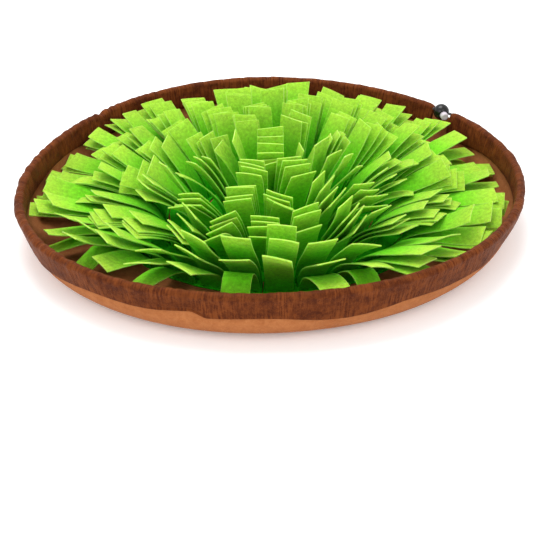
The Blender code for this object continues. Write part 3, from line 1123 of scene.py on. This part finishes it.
    def dressed(self, azimuth: float, offset: float, height: float) -> tuple[float, float]:
        """Ripples a point's hem, and draws the outer hem up in its tuck.

        Args:
            azimuth: The point's azimuth.
            offset: Its offset from the middle of the dish's cloth.
            height: Its height.

        Returns:
            Its new offset and height.
        """
        outer = offset > 0.0
        hem = self.outer_hem if outer else self.inner_hem
        raised = self.ripple(self.hem_waves, azimuth) + (self.tucked(azimuth) if outer else 0.0)
        height += raised * (1.0 - smooth_step(hem + MM, hem + self.hem_reach, height))
        if offset > self.inside + self.face_margin:
            above = height - self.outer_hem - raised
            low = 1.0 - smooth_step(0.0, self.tuck_height, above)
            offset += self.ripple(self.pucker_waves, azimuth) - self.creased(azimuth, above)
            offset += self.tuck_bulge * self.tucked(azimuth) * low
        return offset, height

    def drawn_in(self, azimuth: float, offset: float, height: float) -> tuple[float, float, float]:
        """Puckers a point that shows, and draws it in towards its roll's middle at the casing's two ends.

        Args:
            azimuth: The point's azimuth.
            offset: Its offset from the middle of the dish's cloth.
            height: Its height.

        Returns:
            Its new azimuth, offset and height.
        """
        rim = self.rim
        turned = (azimuth - self.start) % math.tau
        out = Vector((offset, max(0.0, height - rim.middle)))
        to_end = min(turned, self.end - self.start - turned) * rim.radius
        share = min(1.0, max(0.0, 1.0 - to_end / self.closing))
        slant = self.end_slant * share if turned > math.pi else 0.0
        azimuth += slant * min(1.0, max(0.0, offset / rim.roll)) / rim.radius
        in_roll = smooth_step(self.ceiling, rim.middle, height)
        least = self.side_end - (self.side_end - self.roll_end) * in_roll
        drawn = 1.0 - (1.0 - least) * (1.0 - math.sqrt(1.0 - share**2))
        grown = (out.length + self.fine_pucker(azimuth, height)) * drawn / out.length
        height += (grown - 1.0) * out.y - self.pinch_at(azimuth) * out.y / out.length
        return azimuth, offset * grown, height

    def build(self, material: Material) -> Object:
        """Makes the casing, drawn in at its two ends.

        Args:
            material: Its finish.

        Returns:
            The casing.
        """
        rim = self.rim
        points = [(rim.radius - rim.inset(z) + offset, z) for offset, z in self.section()]
        bm = bmesh.new()
        spin_line(bm, points, self.start, self.end - self.start, self.steps, closed=True)
        offsets = {}
        for vert in bm.verts:
            azimuth = math.atan2(vert.co.y, vert.co.x)
            offset = math.hypot(vert.co.x, vert.co.y) - (rim.radius - rim.inset(vert.co.z))
            height = vert.co.z
            shown = abs(offset) > self.inside + self.face_margin or height > self.ceiling + self.fold_margin
            offset, height = self.dressed(azimuth, offset, height)
            if shown:
                azimuth, offset, height = self.drawn_in(azimuth, offset, height)
            offsets[vert] = offset
            radius = rim.radius - rim.inset(min(height, rim.middle)) + offset
            radius += rim.waves(rim.radius_waves, azimuth) + rim.belly(azimuth, height)
            vert.co = polar(radius, azimuth, rim.follow(height, azimuth))

        def level(corner: bmesh.types.BMVert) -> float:
            """Gives the height outside, and runs on over the top and down inside."""
            return corner.co.z if offsets[corner] > 0.0 else 2 * rim.top - corner.co.z

        unroll(bm, rim.radius, level)
        ends = [edge for edge in bm.edges if edge.is_boundary]
        bmesh.ops.holes_fill(bm, edges=ends, sides=0)
        obj = finished_object("casing_strip", bm, material, Body.MAT, Slot.CASING, ["casing"])
        return obj


# --------------------------------------------------------------------------------------------------
# The cord lock


@dataclass
class CordLock:
    """The round lock between the casing's ends, its spring plunger, and the drawstring beside it.

    The groove's place and width are in degrees on the lock's section. The lip's curve holds how far its
    points stand from the bore and above the mouth, as shares of the lip.
    """

    rim: Rim
    casing: Casing
    radius: float = 8.8 * MM
    inset: float = 2.0 * MM
    bore: float = 4.6 * MM
    bore_floor: float = -4.2 * MM
    lip: float = 0.6 * MM
    lip_curve: Line = field(default_factory=lambda: [(0.35, 0.1), (0.08, -0.1), (0.0, -0.5)])
    plunger_radius: float = 4.2 * MM
    plunger_inner: float = 0.4 * MM
    plunger_outer: float = 12.2 * MM
    plunger_round: float = 1.4 * MM
    turn: float = math.radians(25.0)
    tip: float = math.radians(8.0)
    body_rows: int = 40
    body_steps: int = 56
    groove: float = 0.16 * MM
    groove_angle: float = -20.0
    groove_width: float = 2.2
    plunger_steps: int = 40
    plunger_chamfer: float = 0.3 * MM
    end_step: int = 15
    end_dish: float = 0.4 * MM
    end_dish_reach: float = 0.6
    end_dish_share: float = 0.625
    cord: float = 3.0 * MM
    cord_offset: float = 2.9 * MM
    cord_segments: int = 24
    cord_rounding: float = 0.3 * MM
    hidden: float = math.radians(1.2)

    def placing(self) -> tuple[Vector, Vector, Vector, Vector]:
        """Gives where the lock is and how it lies.

        Returns:
            Its middle, its way along the rim, outwards, and its plunger's way out.
        """
        rim = self.rim
        outward = polar(1.0, rim.lock_azimuth, 0.0)
        along = Vector((outward.y, -outward.x, 0.0))
        height = rim.follow(rim.edge - rim.lock_dip, rim.lock_azimuth) + rim.gap + self.radius
        middle = polar(rim.radius_at(rim.lock_azimuth) - self.inset, rim.lock_azimuth, height)
        level = math.cos(self.turn) * along - math.sin(self.turn) * outward
        plunger = math.cos(self.tip) * level - math.sin(self.tip) * UP
        return middle, along, outward, plunger

    def placed(self) -> Matrix:
        """Gives the turn and move that take a shape about the Z axis to the lock's place.

        Returns:
            The matrix.
        """
        middle, _, _, axis = self.placing()
        turn = UP.rotation_difference(axis).to_matrix().to_4x4()
        return Matrix.Translation(middle) @ turn

    def turned(self, line: Line, steps: int) -> Mesh:
        """Turns a line about its axis and puts the shape in the lock's place.

        Args:
            line: The line, as (radius, way out).
            steps: How many faces it has round.

        Returns:
            The shape.
        """
        bm = bmesh.new()
        spin_line(bm, line, 0.0, math.tau, steps)
        bmesh.ops.transform(bm, matrix=self.placed(), verts=bm.verts)
        return bm

    def body_line(self) -> Line:
        """Gives the lock's section: a ball with a parting groove, and a bore with a rounded lip.

        Returns:
            The section, as (radius, way out).
        """
        bore, lip = self.bore, self.lip
        mouth = math.sqrt(self.radius**2 - (bore + lip) ** 2)
        last = math.degrees(math.atan2(mouth, bore + lip))
        line = [(0.0, -self.radius)]
        for i in range(1, self.body_rows + 1):
            angle = -90 + (last + 90) * i / self.body_rows
            reach = self.radius
            reach -= self.groove * math.exp(-(((angle - self.groove_angle) / self.groove_width) ** 2))
            line.append((reach * math.cos(math.radians(angle)), reach * math.sin(math.radians(angle))))
        line += [(bore + across * lip, mouth + up * lip) for across, up in self.lip_curve]
        line += [(bore, self.bore_floor), (0.0, self.bore_floor)]
        return line

    def plunger_line(self) -> Line:
        """Gives the plunger's section: a pin with a rounded, slightly dished end.

        Returns:
            The section, as (radius, way out).
        """
        r, curve = self.plunger_radius, self.plunger_round
        bottom, top = self.plunger_inner, self.plunger_outer
        line = [(0.0, bottom), (r - self.plunger_chamfer, bottom), (r, bottom + self.plunger_chamfer)]
        for angle in (math.radians(a) for a in range(0, 91, self.end_step)):
            line.append((r - curve + curve * math.cos(angle), top - curve + curve * math.sin(angle)))
        line.append((self.end_dish_reach * (r - curve), top - self.end_dish_share * self.end_dish))
        line.append((0.0, top - self.end_dish))
        return line

    def stub(self, name: str, start: Vector, end: Vector, material: Material) -> Object:
        """Makes a short length of drawstring.

        Args:
            name: The stub's name, which is its node's with a suffix.
            start: Where it starts.
            end: Where it ends.
            material: The cord's finish.

        Returns:
            The stub.
        """
        bm = bmesh.new()
        radius, depth = self.cord / 2, (end - start).length
        bmesh.ops.create_cone(
            bm, cap_ends=True, segments=self.cord_segments, radius1=radius, radius2=radius, depth=depth
        )
        caps = [edge for edge in bm.edges if len({round(v.co.z, 6) for v in edge.verts}) == 1]
        bmesh.ops.bevel(
            bm, geom=caps, offset=self.cord_rounding, segments=2, profile=0.5, affect="EDGES", material=-1
        )
        unroll(bm, radius, lambda corner: corner.co.z)
        turn = UP.rotation_difference(end - start).to_matrix().to_4x4()
        bmesh.ops.transform(bm, matrix=Matrix.Translation((start + end) / 2) @ turn, verts=bm.verts)
        return finished_object(f"{name}_cord", bm, material, Body.MAT, Slot.CORD, [name])

    def build(self, shell: Material, pin: Material, cord: Material) -> list[Object]:
        """Makes the lock, its plunger and the two stubs of drawstring.

        Args:
            shell: The lock's finish.
            pin: The plunger's finish.
            cord: The drawstring's finish.

        Returns:
            The four pieces.
        """
        rim = self.rim
        body = self.turned(self.body_line(), self.body_steps)
        lock = finished_object("lock_shell", body, shell, Body.MAT, Slot.LOCK, ["cord_lock"])
        pressed = self.turned(self.plunger_line(), self.plunger_steps)
        plunger = finished_object("lock_plunger", pressed, pin, Body.PLUNGER, Slot.PLUNGER, ["plunger"])
        middle, along, outward, _ = self.placing()
        start, end = self.casing.start + self.hidden, self.casing.end - self.hidden
        left_end = polar(rim.radius_at(start), start, rim.follow(rim.middle, start))
        left = middle - (self.radius + rim.gap) * along
        left_stub = self.stub("drawstring_left", left, left_end, cord)
        right_end = polar(rim.radius_at(end), end, rim.follow(rim.middle, end))
        right_end += self.cord_offset * outward / 2
        right = middle + (self.radius + rim.gap) * along + self.cord_offset * outward
        right_stub = self.stub("drawstring_right", right, right_end, cord)
        return [lock, plunger, left_stub, right_stub]


# --------------------------------------------------------------------------------------------------
# The felt


@dataclass(frozen=True)
class RowPlan:
    """One row of stacks: its roots' radius and pitch in mm, and its leans, sway and turns in degrees."""

    name: str
    parts: int
    columns: int
    layers: int
    radius: float
    pitch: float
    turn: float
    front: float
    side: float
    back: float
    sway: float
    spread: float
    twist: float
    swing: float
    fan: float

    def azimuth(self, column: int) -> float:
        """Gives the azimuth of a stack."""
        return math.radians(self.turn) + math.tau * (column + 0.5) / self.columns


# Each row's name, its lengths of backing, its stacks and their layers, the roots' radius and pitch, the
# row's turn, the leans at the front, at the sides and at the back, then sway, spread, twist, swing and fan.
ROWS = (
    RowPlan("heart", 2, 2, 2, 3.4, 3.6, 0, 6, 6, 6, 0, 4.0, 0, 0, 0.0),
    RowPlan("core", 1, 4, 2, 18.0, 3.6, 45, 12, 15, 10, 2, 4.0, 8, 3, 0.3),
    RowPlan("row_1", 2, 8, 4, 36.5, 3.2, 0, 14, 28, 14, 5, 3.0, 20, 8, 0.3),
    RowPlan("row_2", 4, 16, 4, 72.0, 3.4, -5, 23, 53, 25, 6, 3.6, 24, 12, 0.4),
    RowPlan("row_3", 6, 24, 4, 107.0, 4.0, 6, 34, 74, 42, 5, 4.4, 24, 12, 0.5),
    RowPlan("row_4", 8, 32, 3, 141.0, 7.5, -3, 44, 95, 62, 5, 6.5, 18, 15, 0.6),
)

# How far a strip's tip has folded over, in degrees, by row, stack and layer. The others have no fold.
FOLDS = {
    ("row_4", 19, 2): 40.0,
    ("row_4", 23, 2): 80.0,
    ("row_4", 26, 2): 55.0,
}


def either_way(chance: random.Random) -> float:
    """Draws a number from -1 to 1."""
    return chance.uniform(-1.0, 1.0)


@dataclass
class Strip:
    """One felt strip, from its root on the backing to its cut tip.

    Its lean, curl, twist, swing and fold are angles. Its slant is how far its cut goes askew, its flop how
    far one corner bends and its cup how far its sides do, in metres.
    """

    row: RowPlan
    column: int
    layer: int
    azimuth: float
    lean: float
    curl: float
    twist: float
    length: float
    swing: float = 0.0
    tone: float = 0.0
    slant: float = 0.0
    flop: float = 0.0
    cup: float = 0.0
    phase: float = 0.0
    own_phase: float = 0.0
    fold: float = 0.0


@dataclass
class Felt:
    """All the felt: where each strip stands, and the meshes of each length of backing."""

    rim: Rim
    seed: int = 11
    # The strips' own size, and how they are built.
    thickness: float = 1.25 * MM
    root_thickness: float = 1.6 * MM
    width: float = 26.0 * MM
    length: float = 82.0 * MM
    length_spread: float = 0.05
    own_length: float = 0.05
    edge_growth: float = 0.16
    cut_rounding: float = 0.25 * MM
    root_sink: float = 0.7 * MM
    steps: int = 24
    segments_across: int = 4
    segments_along: int = 12
    # How a strip's lean and curl come in along it.
    root_tilt: float = 0.25
    bend: float = 1.0 / 3.0
    fold_place: tuple[float, float] = (0.5, 0.72)
    # How sharply the front and the back of a row differ from its sides, and how close their layers stay.
    front_power: int = 5
    back_power: int = 3
    closeness: float = 0.5
    # What one stack's strips share.
    spread_range: tuple[float, float] = (0.8, 1.3)
    fan_range: tuple[float, float] = (0.5, 1.0)
    curl_degrees: tuple[float, float] = (-8.0, 14.0)
    cup_mm: tuple[float, float] = (-0.5, 0.9)
    stack_lean: float = math.radians(5.0)
    stack_twist: float = math.radians(15.0)
    layer_gaps: tuple[float, ...] = (0.0, 0.2, 0.6, 1.5, 2.1)
    # What each strip has of its own.
    own_place: float = 0.2
    own_swing: float = 0.4
    own_twist: float = math.radians(2.5)
    own_curl: float = math.radians(3.0)
    slant_mm: float = 2.4
    flop_mm: float = 0.6
    own_tone: float = 0.5
    wave: float = 0.9 * MM
    wave_turns: tuple[float, float] = (0.9, 0.08)
    own_wave: float = 0.3 * MM
    own_wave_turns: tuple[float, float] = (1.4, 0.2)
    cup_level: float = 0.35
    flop_power: int = 5
    slant_power: int = 10
    # How the outer layers lean, and how the innermost and outermost ones curl.
    outer_lean: float = math.radians(9.0)
    side_fan: float = math.radians(11.0)
    upright_fan: float = math.radians(3.0)
    fan_out_range: tuple[float, float] = (0.6, 1.2)
    edge_curl: float = math.radians(13.0)
    outer_curl: float = math.radians(16.0)
    inner_curl: float = math.radians(12.0)
    # The room that is kept between strips, above the floor and inside the rim.
    room_share: float = 0.9
    closest: float = 2.6 * MM
    curl_reach: float = 0.25
    floor_clearance: float = 1.5 * MM
    wall_clearance: float = 2.0 * MM
    casing_inner_hem: float = 28.0 * MM
    trim: float = 1.0 * MM
    lift: float = math.radians(1.5)
    lift_unfold: float = 0.9
    step_back: float = math.radians(1.0)
    step_unfold: float = 0.8
    most_steps_back: int = 20
    # The backings.
    backing: float = 2.0 * MM
    backing_margin: float = 2.5 * MM
    part_gap: float = 0.8 * MM
    backing_seam: float = 0.6 * MM
    end_margin: float = 1.2 * MM
    backing_tip: float = 20.0

    def profile(self, strip: Strip, reach: float) -> tuple[float, float, float]:
        """Follows a strip's middle out from its root.

        Args:
            strip: The strip.
            reach: How far along it, in metres.

        Returns:
            The radius and height there, and the strip's angle from upright.
        """
        radius = MM * (strip.row.radius + strip.row.pitch * strip.layer)
        height = self.rim.cloth + self.rim.gap + self.backing
        angle = strip.lean * self.root_tilt
        step = reach / self.steps
        for i in range(self.steps):
            share = (i + 0.5) * step / self.length
            settled = self.root_tilt + (1.0 - self.root_tilt) * (1.0 - max(0.0, 1.0 - share) ** 3)
            folded = strip.fold * smooth_step(*self.fold_place, share)
            angle = strip.lean * settled + strip.curl * share**3 + folded
            radius += step * math.sin(angle)
            height += step * math.cos(angle)
        return radius, height, angle

    def clear_of_side(self, strip: Strip) -> bool:
        """Tells whether a strip's tip is clear of the dish's side and of the casing.

        Args:
            strip: The strip.

        Returns:
            Whether it is.
        """
        rim = self.rim
        radius, height, _ = self.profile(strip, strip.length)
        if height > rim.top + self.wall_clearance:
            return True
        room = rim.radius_at(strip.azimuth) - rim.inset(height) - rim.cloth / 2
        if height > self.casing_inner_hem - self.wall_clearance:
            room -= rim.roll - rim.cloth / 2
        return radius < room - self.wall_clearance

    def plan_stack(
        self, row: RowPlan, column: int, chance: random.Random, dressing: random.Random
    ) -> list[Strip]:
        """Plans the strips of one stack, from the innermost layer out.

        Args:
            row: The row the stack belongs to.
            column: Its place in the row.
            chance: What the strips' places are drawn from, in the order that the frame draws them.
            dressing: What their small waves and tones are drawn from.

        Returns:
            The strips.
        """
        azimuth = row.azimuth(column)
        front = ((1.0 - math.sin(azimuth)) / 2.0) ** self.front_power
        back = ((1.0 + math.sin(azimuth)) / 2.0) ** self.back_power
        aside = 1.0 - front - back
        middle = row.side + front * (row.front - row.side) + back * (row.back - row.side)
        middle += row.sway * (1.0 - back / 2) * either_way(chance)
        spread = row.spread * (1.0 - self.closeness * (front + back)) * chance.uniform(*self.spread_range)
        size = self.length * (1.0 + self.length_spread * either_way(chance))
        curl = math.radians(chance.uniform(*self.curl_degrees))
        twist = math.radians(row.twist * either_way(chance))
        swing, fan = either_way(chance), chance.choice((-1.0, 1.0)) * chance.uniform(*self.fan_range)
        stack_tone, cup = either_way(dressing), dressing.uniform(*self.cup_mm) * MM
        phase = dressing.uniform(0.0, math.tau)
        own_places = self.spacing(row, dressing)
        stack_lean = self.stack_lean * either_way(dressing)
        if row.twist:
            twist += self.stack_twist * either_way(dressing)
        stack: list[Strip] = []
        for layer in range(row.layers):
            outwards = layer / (row.layers - 1)
            lean = math.radians(middle + spread * (own_places[layer] + self.own_place * either_way(chance)))
            strip = Strip(
                row=row,
                column=column,
                layer=layer,
                azimuth=azimuth,
                lean=lean + stack_lean,
                curl=curl + self.own_curl * either_way(dressing),
                twist=twist + self.own_twist * either_way(dressing),
                length=size * (1.0 + self.length_spread / 2 * either_way(chance)),
                tone=(1.0 - self.own_tone) * stack_tone + self.own_tone * either_way(dressing),
                slant=self.slant_mm * either_way(dressing) * MM,
                flop=self.flop_mm * either_way(dressing) * MM,
                cup=cup,
                phase=phase,
                own_phase=dressing.uniform(0.0, math.tau),
                fold=math.radians(FOLDS.get((row.name, column, layer), 0.0)),
            )
            strip.length *= 1.0 + self.own_length * either_way(dressing)
            if row is ROWS[-1]:
                strip.length *= 1.0 + self.edge_growth * (1.0 - back)
                strip.lean += self.outer_lean * front * outwards
                strip.curl -= self.edge_curl * aside
            else:
                fan_out = self.upright_fan + (self.side_fan - self.upright_fan) * aside
                strip.lean += fan_out * dressing.uniform(*self.fan_out_range) * outwards
            if layer == 0:
                strip.curl -= self.inner_curl * dressing.random() ** 2
            elif layer == row.layers - 1:
                strip.curl += self.outer_curl * dressing.random() ** 2
            self.settle(strip, stack)
            while not self.clear_of_side(strip):
                strip.length -= self.trim
            reach = self.profile(strip, strip.length)[0]
            room = reach * math.tan(math.pi / row.columns) - self.width / 2
            most = min(math.radians(row.swing), math.atan(max(0.0, self.room_share * room / strip.length)))
            turn = (1.0 - row.fan) * swing + row.fan * fan * (2.0 * outwards - 1.0)
            turn += self.own_swing * either_way(dressing)
            strip.swing = most * min(1.0, max(-1.0, turn))
            stack.append(strip)
        return stack

    def spacing(self, row: RowPlan, dressing: random.Random) -> list[float]:
        """Draws where the layers of a stack lean: some close together, some apart.

        Args:
            row: The stack's row.
            dressing: What the gaps are drawn from.

        Returns:
            Each layer's place, in layers from the stack's middle.
        """
        places = [0.0]
        for _ in range(row.layers - 1):
            places.append(places[-1] + dressing.choice(self.layer_gaps))
        middle = sum(places) / len(places)
        return [place - middle for place in places]

    def settle(self, strip: Strip, stack: Sequence[Strip]) -> None:
        """Leans a strip out until it clears the one inside it, and lifts its tip off the floor.

        Args:
            strip: The strip.
            stack: The strips inside it, from the innermost out.
        """
        if stack:
            inner = stack[-1]
            apart = MM * strip.row.pitch + strip.length * (strip.lean - inner.lean)
            apart += self.curl_reach * strip.length * (strip.curl - inner.curl)
            strip.lean += max(0.0, self.closest - apart) / strip.length
        lowest = self.rim.cloth + self.floor_clearance
        while True:
            _, height, angle = self.profile(strip, strip.length)
            height -= self.width / 2 * abs(math.sin(strip.twist)) * math.sin(angle)
            if height > lowest:
                break
            strip.curl -= self.lift
            strip.fold *= self.lift_unfold

    def place(self, strip: Strip, share: float, side: float) -> Vector:
        """Gives a point of a strip's middle sheet.

        Args:
            strip: The strip.
            share: How far along it the point is, from 0 at the root to 1 at the tip.
            side: How far across it the point is, from -1 to 1.

        Returns:
            The point, in metres.
        """
        radius, height, angle = self.profile(strip, share * strip.length)
        turn = strip.swing * min(1.0, share / self.bend)
        straight = share - self.bend / 2 if share > self.bend else share * share / self.bend / 2
        drift = straight * strip.length * math.sin(strip.swing)
        azimuth = strip.azimuth + drift / radius
        outward, sideways = polar(1.0, azimuth, 0.0), polar(1.0, azimuth + math.pi / 2, 0.0)
        lengthways = math.sin(angle) * outward + math.cos(angle) * UP
        across = math.cos(turn) * sideways - math.sin(turn) * lengthways
        facing = math.cos(angle) * outward - math.sin(angle) * UP
        twist = strip.twist * share
        width = math.cos(twist) * across + math.sin(twist) * facing
        depth = math.cos(twist) * facing - math.sin(twist) * across
        turns = self.wave_turns[0] * share + self.wave_turns[1] * side
        own_turns = self.own_wave_turns[0] * share + self.own_wave_turns[1] * side
        wave = self.wave * share * math.sin(math.tau * turns + strip.phase)
        wave += self.own_wave * share * math.sin(math.tau * own_turns + strip.own_phase)
        wave += strip.cup * share * (side * side - self.cup_level)
        wave += strip.flop * share**self.flop_power * (1.0 + side) / 2
        point = radius * outward + height * UP + side * self.width / 2 * width + wave * depth
        return point + strip.slant * side * share**self.slant_power * lengthways

    def sheet_of(self, strip: Strip) -> BVHTree:
        """Gives a strip's middle sheet, without its root, so that what crosses it can be found.

        Args:
            strip: The strip.

        Returns:
            The tree of its faces.
        """
        along, across = self.segments_along, self.segments_across
        points = [
            self.place(strip, j / along, 2.0 * i / across - 1.0)
            for j in range(1, along + 1)
            for i in range(across + 1)
        ]
        corners = [j * (across + 1) + i for j in range(along - 1) for i in range(across)]
        return BVHTree.FromPolygons(points, [(c, c + 1, c + across + 2, c + across + 1) for c in corners])

    def part_crossings(self, strips: Sequence[Strip]) -> None:
        """Leans strips back, from the outermost in, until each is clear of those outside it and beside it.

        Args:
            strips: All the strips, from the innermost out.
        """
        placed: list[BVHTree] = []
        for strip in reversed(strips):
            sheet = self.sheet_of(strip)
            for _ in range(self.most_steps_back):
                if not any(sheet.overlap(other) for other in placed):
                    break
                strip.lean -= self.step_back
                strip.fold *= self.step_unfold
                sheet = self.sheet_of(strip)
            placed.append(sheet)

    def backing_place(self, row: RowPlan, columns: Sequence[int], i: int, j: int) -> Vector:
        """Gives where a corner of the backing's grid goes.

        Args:
            row: The backing's row.
            columns: The stacks that stand on this length of backing.
            i: The corner's count round the mat: one for each end of the backing, and two for each stack.
            j: 0 on the backing's inner edge and 1 on its outer edge.

        Returns:
            The corner, at height 0.
        """
        azimuth = row.azimuth(columns[min(max((i - 1) // 2, 0), len(columns) - 1)])
        half_turn = math.pi / row.columns
        at_stack = 0 < i < 2 * len(columns) + 1
        margin = self.root_thickness / 2 + self.backing_margin
        next_row = ROWS.index(row) + 1
        if j == 0:
            radius = max(self.part_gap, MM * row.radius - margin)
        else:
            radius = MM * (row.radius + row.pitch * (row.layers - 1)) + margin
            if next_row < len(ROWS):
                reach = MM * ROWS[next_row].radius - margin - self.backing_seam
                chord = math.sqrt(reach**2 - (self.width / 2) ** 2)
                radius = max(radius, chord if at_stack else reach * math.cos(half_turn))
        if at_stack:
            across = (1.0 if (i - 1) % 2 else -1.0) * self.width / 2
        else:
            most = radius * math.tan(half_turn) if row.columns > 2 else self.width / 2 + self.end_margin
            across = (-1.0 if i == 0 else 1.0) * (most - self.part_gap / 2)
        return polar(radius, azimuth, 0.0) + polar(across, azimuth + math.pi / 2, 0.0)

    def build_part(self, row: RowPlan, part: int, strips: list[Strip], material: Material) -> Object:
        """Makes one length of backing with its strips.

        Args:
            row: The row.
            part: Which of the row's lengths it is, from 1.
            strips: The strips sewn on it.
            material: The felt.

        Returns:
            The piece: the length of backing with its strips.
        """
        columns = sorted({strip.column for strip in strips})
        bm = bmesh.new()
        layers = {name: bm.verts.layers.float.new(name) for name in ("share", "tone", "side", "tip")}
        round_count = 2 * len(columns) + 1
        level = Vector((0, 0, self.rim.cloth + self.rim.gap + self.backing / 2))
        grid = bmesh.ops.create_grid(bm, x_segments=round_count, y_segments=1, size=0.5)
        for vert in grid["verts"]:
            i, j = round((vert.co.x + 0.5) * round_count), round(vert.co.y + 0.5)
            vert.co = self.backing_place(row, columns, i, j) + level
            vert[layers["tip"]] = self.backing_tip
        across, along = self.segments_across, self.segments_along
        for strip in strips:
            grid = bmesh.ops.create_grid(bm, x_segments=across, y_segments=along, size=0.5)
            for vert in grid["verts"]:
                share, side = vert.co.y + 0.5, 2.0 * vert.co.x
                vert.co = self.place(strip, share, side)
                if round(share * along) == 0:
                    vert.co.z -= self.root_sink
                vert[layers["share"]] = share
                vert[layers["tone"]] = strip.tone
                vert[layers["side"]] = side * self.width / 2 / MM
                vert[layers["tip"]] = (1.0 - share) * strip.length / MM
        node = f"{row.name}_{part}"
        obj = finished_object(f"felt_{node}", bm, material, Body.MAT, Slot.FELT, [node])
        thicken(obj, self.thickness, self.cut_rounding)
        return obj

    def build(self, material: Material) -> list[Object]:
        """Makes every row, in the lengths of backing that its strips are sewn on.

        Args:
            material: The felt.

        Returns:
            The lengths.
        """
        chance, dressing = random.Random(self.seed), random.Random(self.seed + 1)
        planned: list[Strip] = []
        for row in ROWS:
            for column in range(row.columns):
                planned += self.plan_stack(row, column, chance, dressing)
        self.part_crossings(planned)
        made = []
        for row in ROWS:
            columns = row.columns // row.parts
            for part in range(row.parts):
                strips = [strip for strip in planned if strip.row is row and strip.column // columns == part]
                made.append(self.build_part(row, part + 1, strips, material))
        return made


# --------------------------------------------------------------------------------------------------
# The studio


@dataclass(frozen=True)
class AreaLight:
    """One soft round light that looks at the mat: where it stands, how wide it is and its power in watts."""

    name: str
    place: Place
    size: float
    power: float

    def build(self) -> None:
        """Makes the light."""
        lamp = bpy.data.lights.new(self.name, "AREA")
        lamp.shape = "DISK"
        lamp.size = self.size
        lamp.energy = self.power
        obj = bpy.data.objects.new(self.name, lamp)
        obj.location = self.place
        obj.rotation_euler = (-Vector(self.place)).to_track_quat("-Z", "Y").to_euler()
        bpy.context.scene.collection.objects.link(obj)


@dataclass
class Studio:
    """A plain white floor, soft light and the camera. The camera's ways are its own right, up and forward."""

    camera_place: Place = (-0.0012, -1.1716, 0.61535)
    right: Place = (0.99997915, -0.00323762, -0.00558743)
    up: Place = (0.00645767, 0.50134928, 0.8652209)
    forward: Place = (0.0, 0.86523894, -0.50135973)
    lens: float = 86.373
    sensor: float = 36.0
    nearest: float = 0.05
    furthest: float = 60.0
    floor: float = 14.0
    floor_colours: tuple[Colour, Colour] = ((0.93, 0.93, 0.93), (0.96, 0.96, 0.96))
    floor_glow: float = 0.15
    world_strength: float = 1.02
    lights: tuple[AreaLight, ...] = (
        AreaLight("key", (-0.2, 0.45, 1.8), 1.3, 21.0),
        AreaLight("front_right", (1.1, -1.7, 1.4), 1.6, 9.0),
        AreaLight("front_left", (-1.1, -1.7, 1.3), 1.6, 9.0),
    )

    def build(self) -> None:
        """Makes the camera, the floor, the sky and the lights."""
        bpy.context.scene.view_settings.view_transform = "Standard"
        self.build_camera()
        self.build_floor()
        self.build_sky()
        for light in self.lights:
            light.build()

    def build_camera(self) -> None:
        """Makes the camera and gives it to the scene."""
        camera = bpy.data.objects.new("camera", bpy.data.cameras.new("camera"))
        camera.data.lens = self.lens
        camera.data.sensor_width = self.sensor
        camera.data.clip_start = self.nearest
        camera.data.clip_end = self.furthest
        turn = Matrix((self.right, self.up, [-x for x in self.forward])).transposed()
        camera.matrix_world = Matrix.Translation(self.camera_place) @ turn.to_4x4()
        bpy.context.scene.collection.objects.link(camera)
        bpy.context.scene.camera = camera

    def build_floor(self) -> None:
        """Makes the floor, which is no part of the mat."""
        bm = bmesh.new()
        bmesh.ops.create_grid(bm, x_segments=8, y_segments=8, size=self.floor / 2)
        mesh = bpy.data.meshes.new("studio_floor")
        bm.to_mesh(mesh)
        bm.free()
        mesh.materials.append(self.floor_paint())
        ground = bpy.data.objects.new("studio_floor", mesh)
        bpy.context.scene.collection.objects.link(ground)

    def build_sky(self) -> None:
        """Lights the scene evenly from all sides."""
        world = bpy.data.worlds.new("studio")
        world.use_nodes = True
        sky = world.node_tree.nodes["Background"]
        sky.inputs["Color"].default_value = WHITE
        sky.inputs["Strength"].default_value = self.world_strength
        bpy.context.scene.world = world

    def floor_paint(self) -> Material:
        """Makes the floor's plain white.

        Returns:
            The material.
        """
        graph, shader, material = Shading(roughness=0.8, specular=0.1).begin("studio_floor")
        soft = graph.noise(graph.object_place(), 3.0).outputs["Fac"]
        dark, light = self.floor_colours
        graph.join(shader, {"Base Color": graph.mix(soft, rgba(dark), rgba(light))})
        shader.inputs["Emission Color"].default_value = WHITE
        shader.inputs["Emission Strength"].default_value = self.floor_glow
        return material


def main() -> None:
    """Builds the mat piece by piece, then the studio."""
    logging.basicConfig(level=logging.INFO, format="%(name)s %(message)s")
    effects = Effects()
    rim = Rim()
    casing = Casing(rim)
    pieces = [
        Dish(rim).build(SuedeFinish().build(effects)),
        casing.build(CasingFinish().build(effects)),
    ]
    black = PlasticFinish("lock_plastic", (0.003, 0.003, 0.003), (0.010, 0.009, 0.008), 0.22, 0.2)
    pale = PlasticFinish("plunger_plastic", (0.62, 0.56, 0.62), (0.5, 0.45, 0.47), 0.38, 0.0)
    pieces += CordLock(rim, casing).build(
        black.build(effects), pale.build(effects), CordFinish().build(effects)
    )
    pieces += Felt(rim).build(FeltFinish().build(effects))
    for piece in pieces:
        LOG.info("%s: %d faces", piece.name, len(piece.data.polygons))
    Studio().build()


if __name__ == "__main__":
    main()
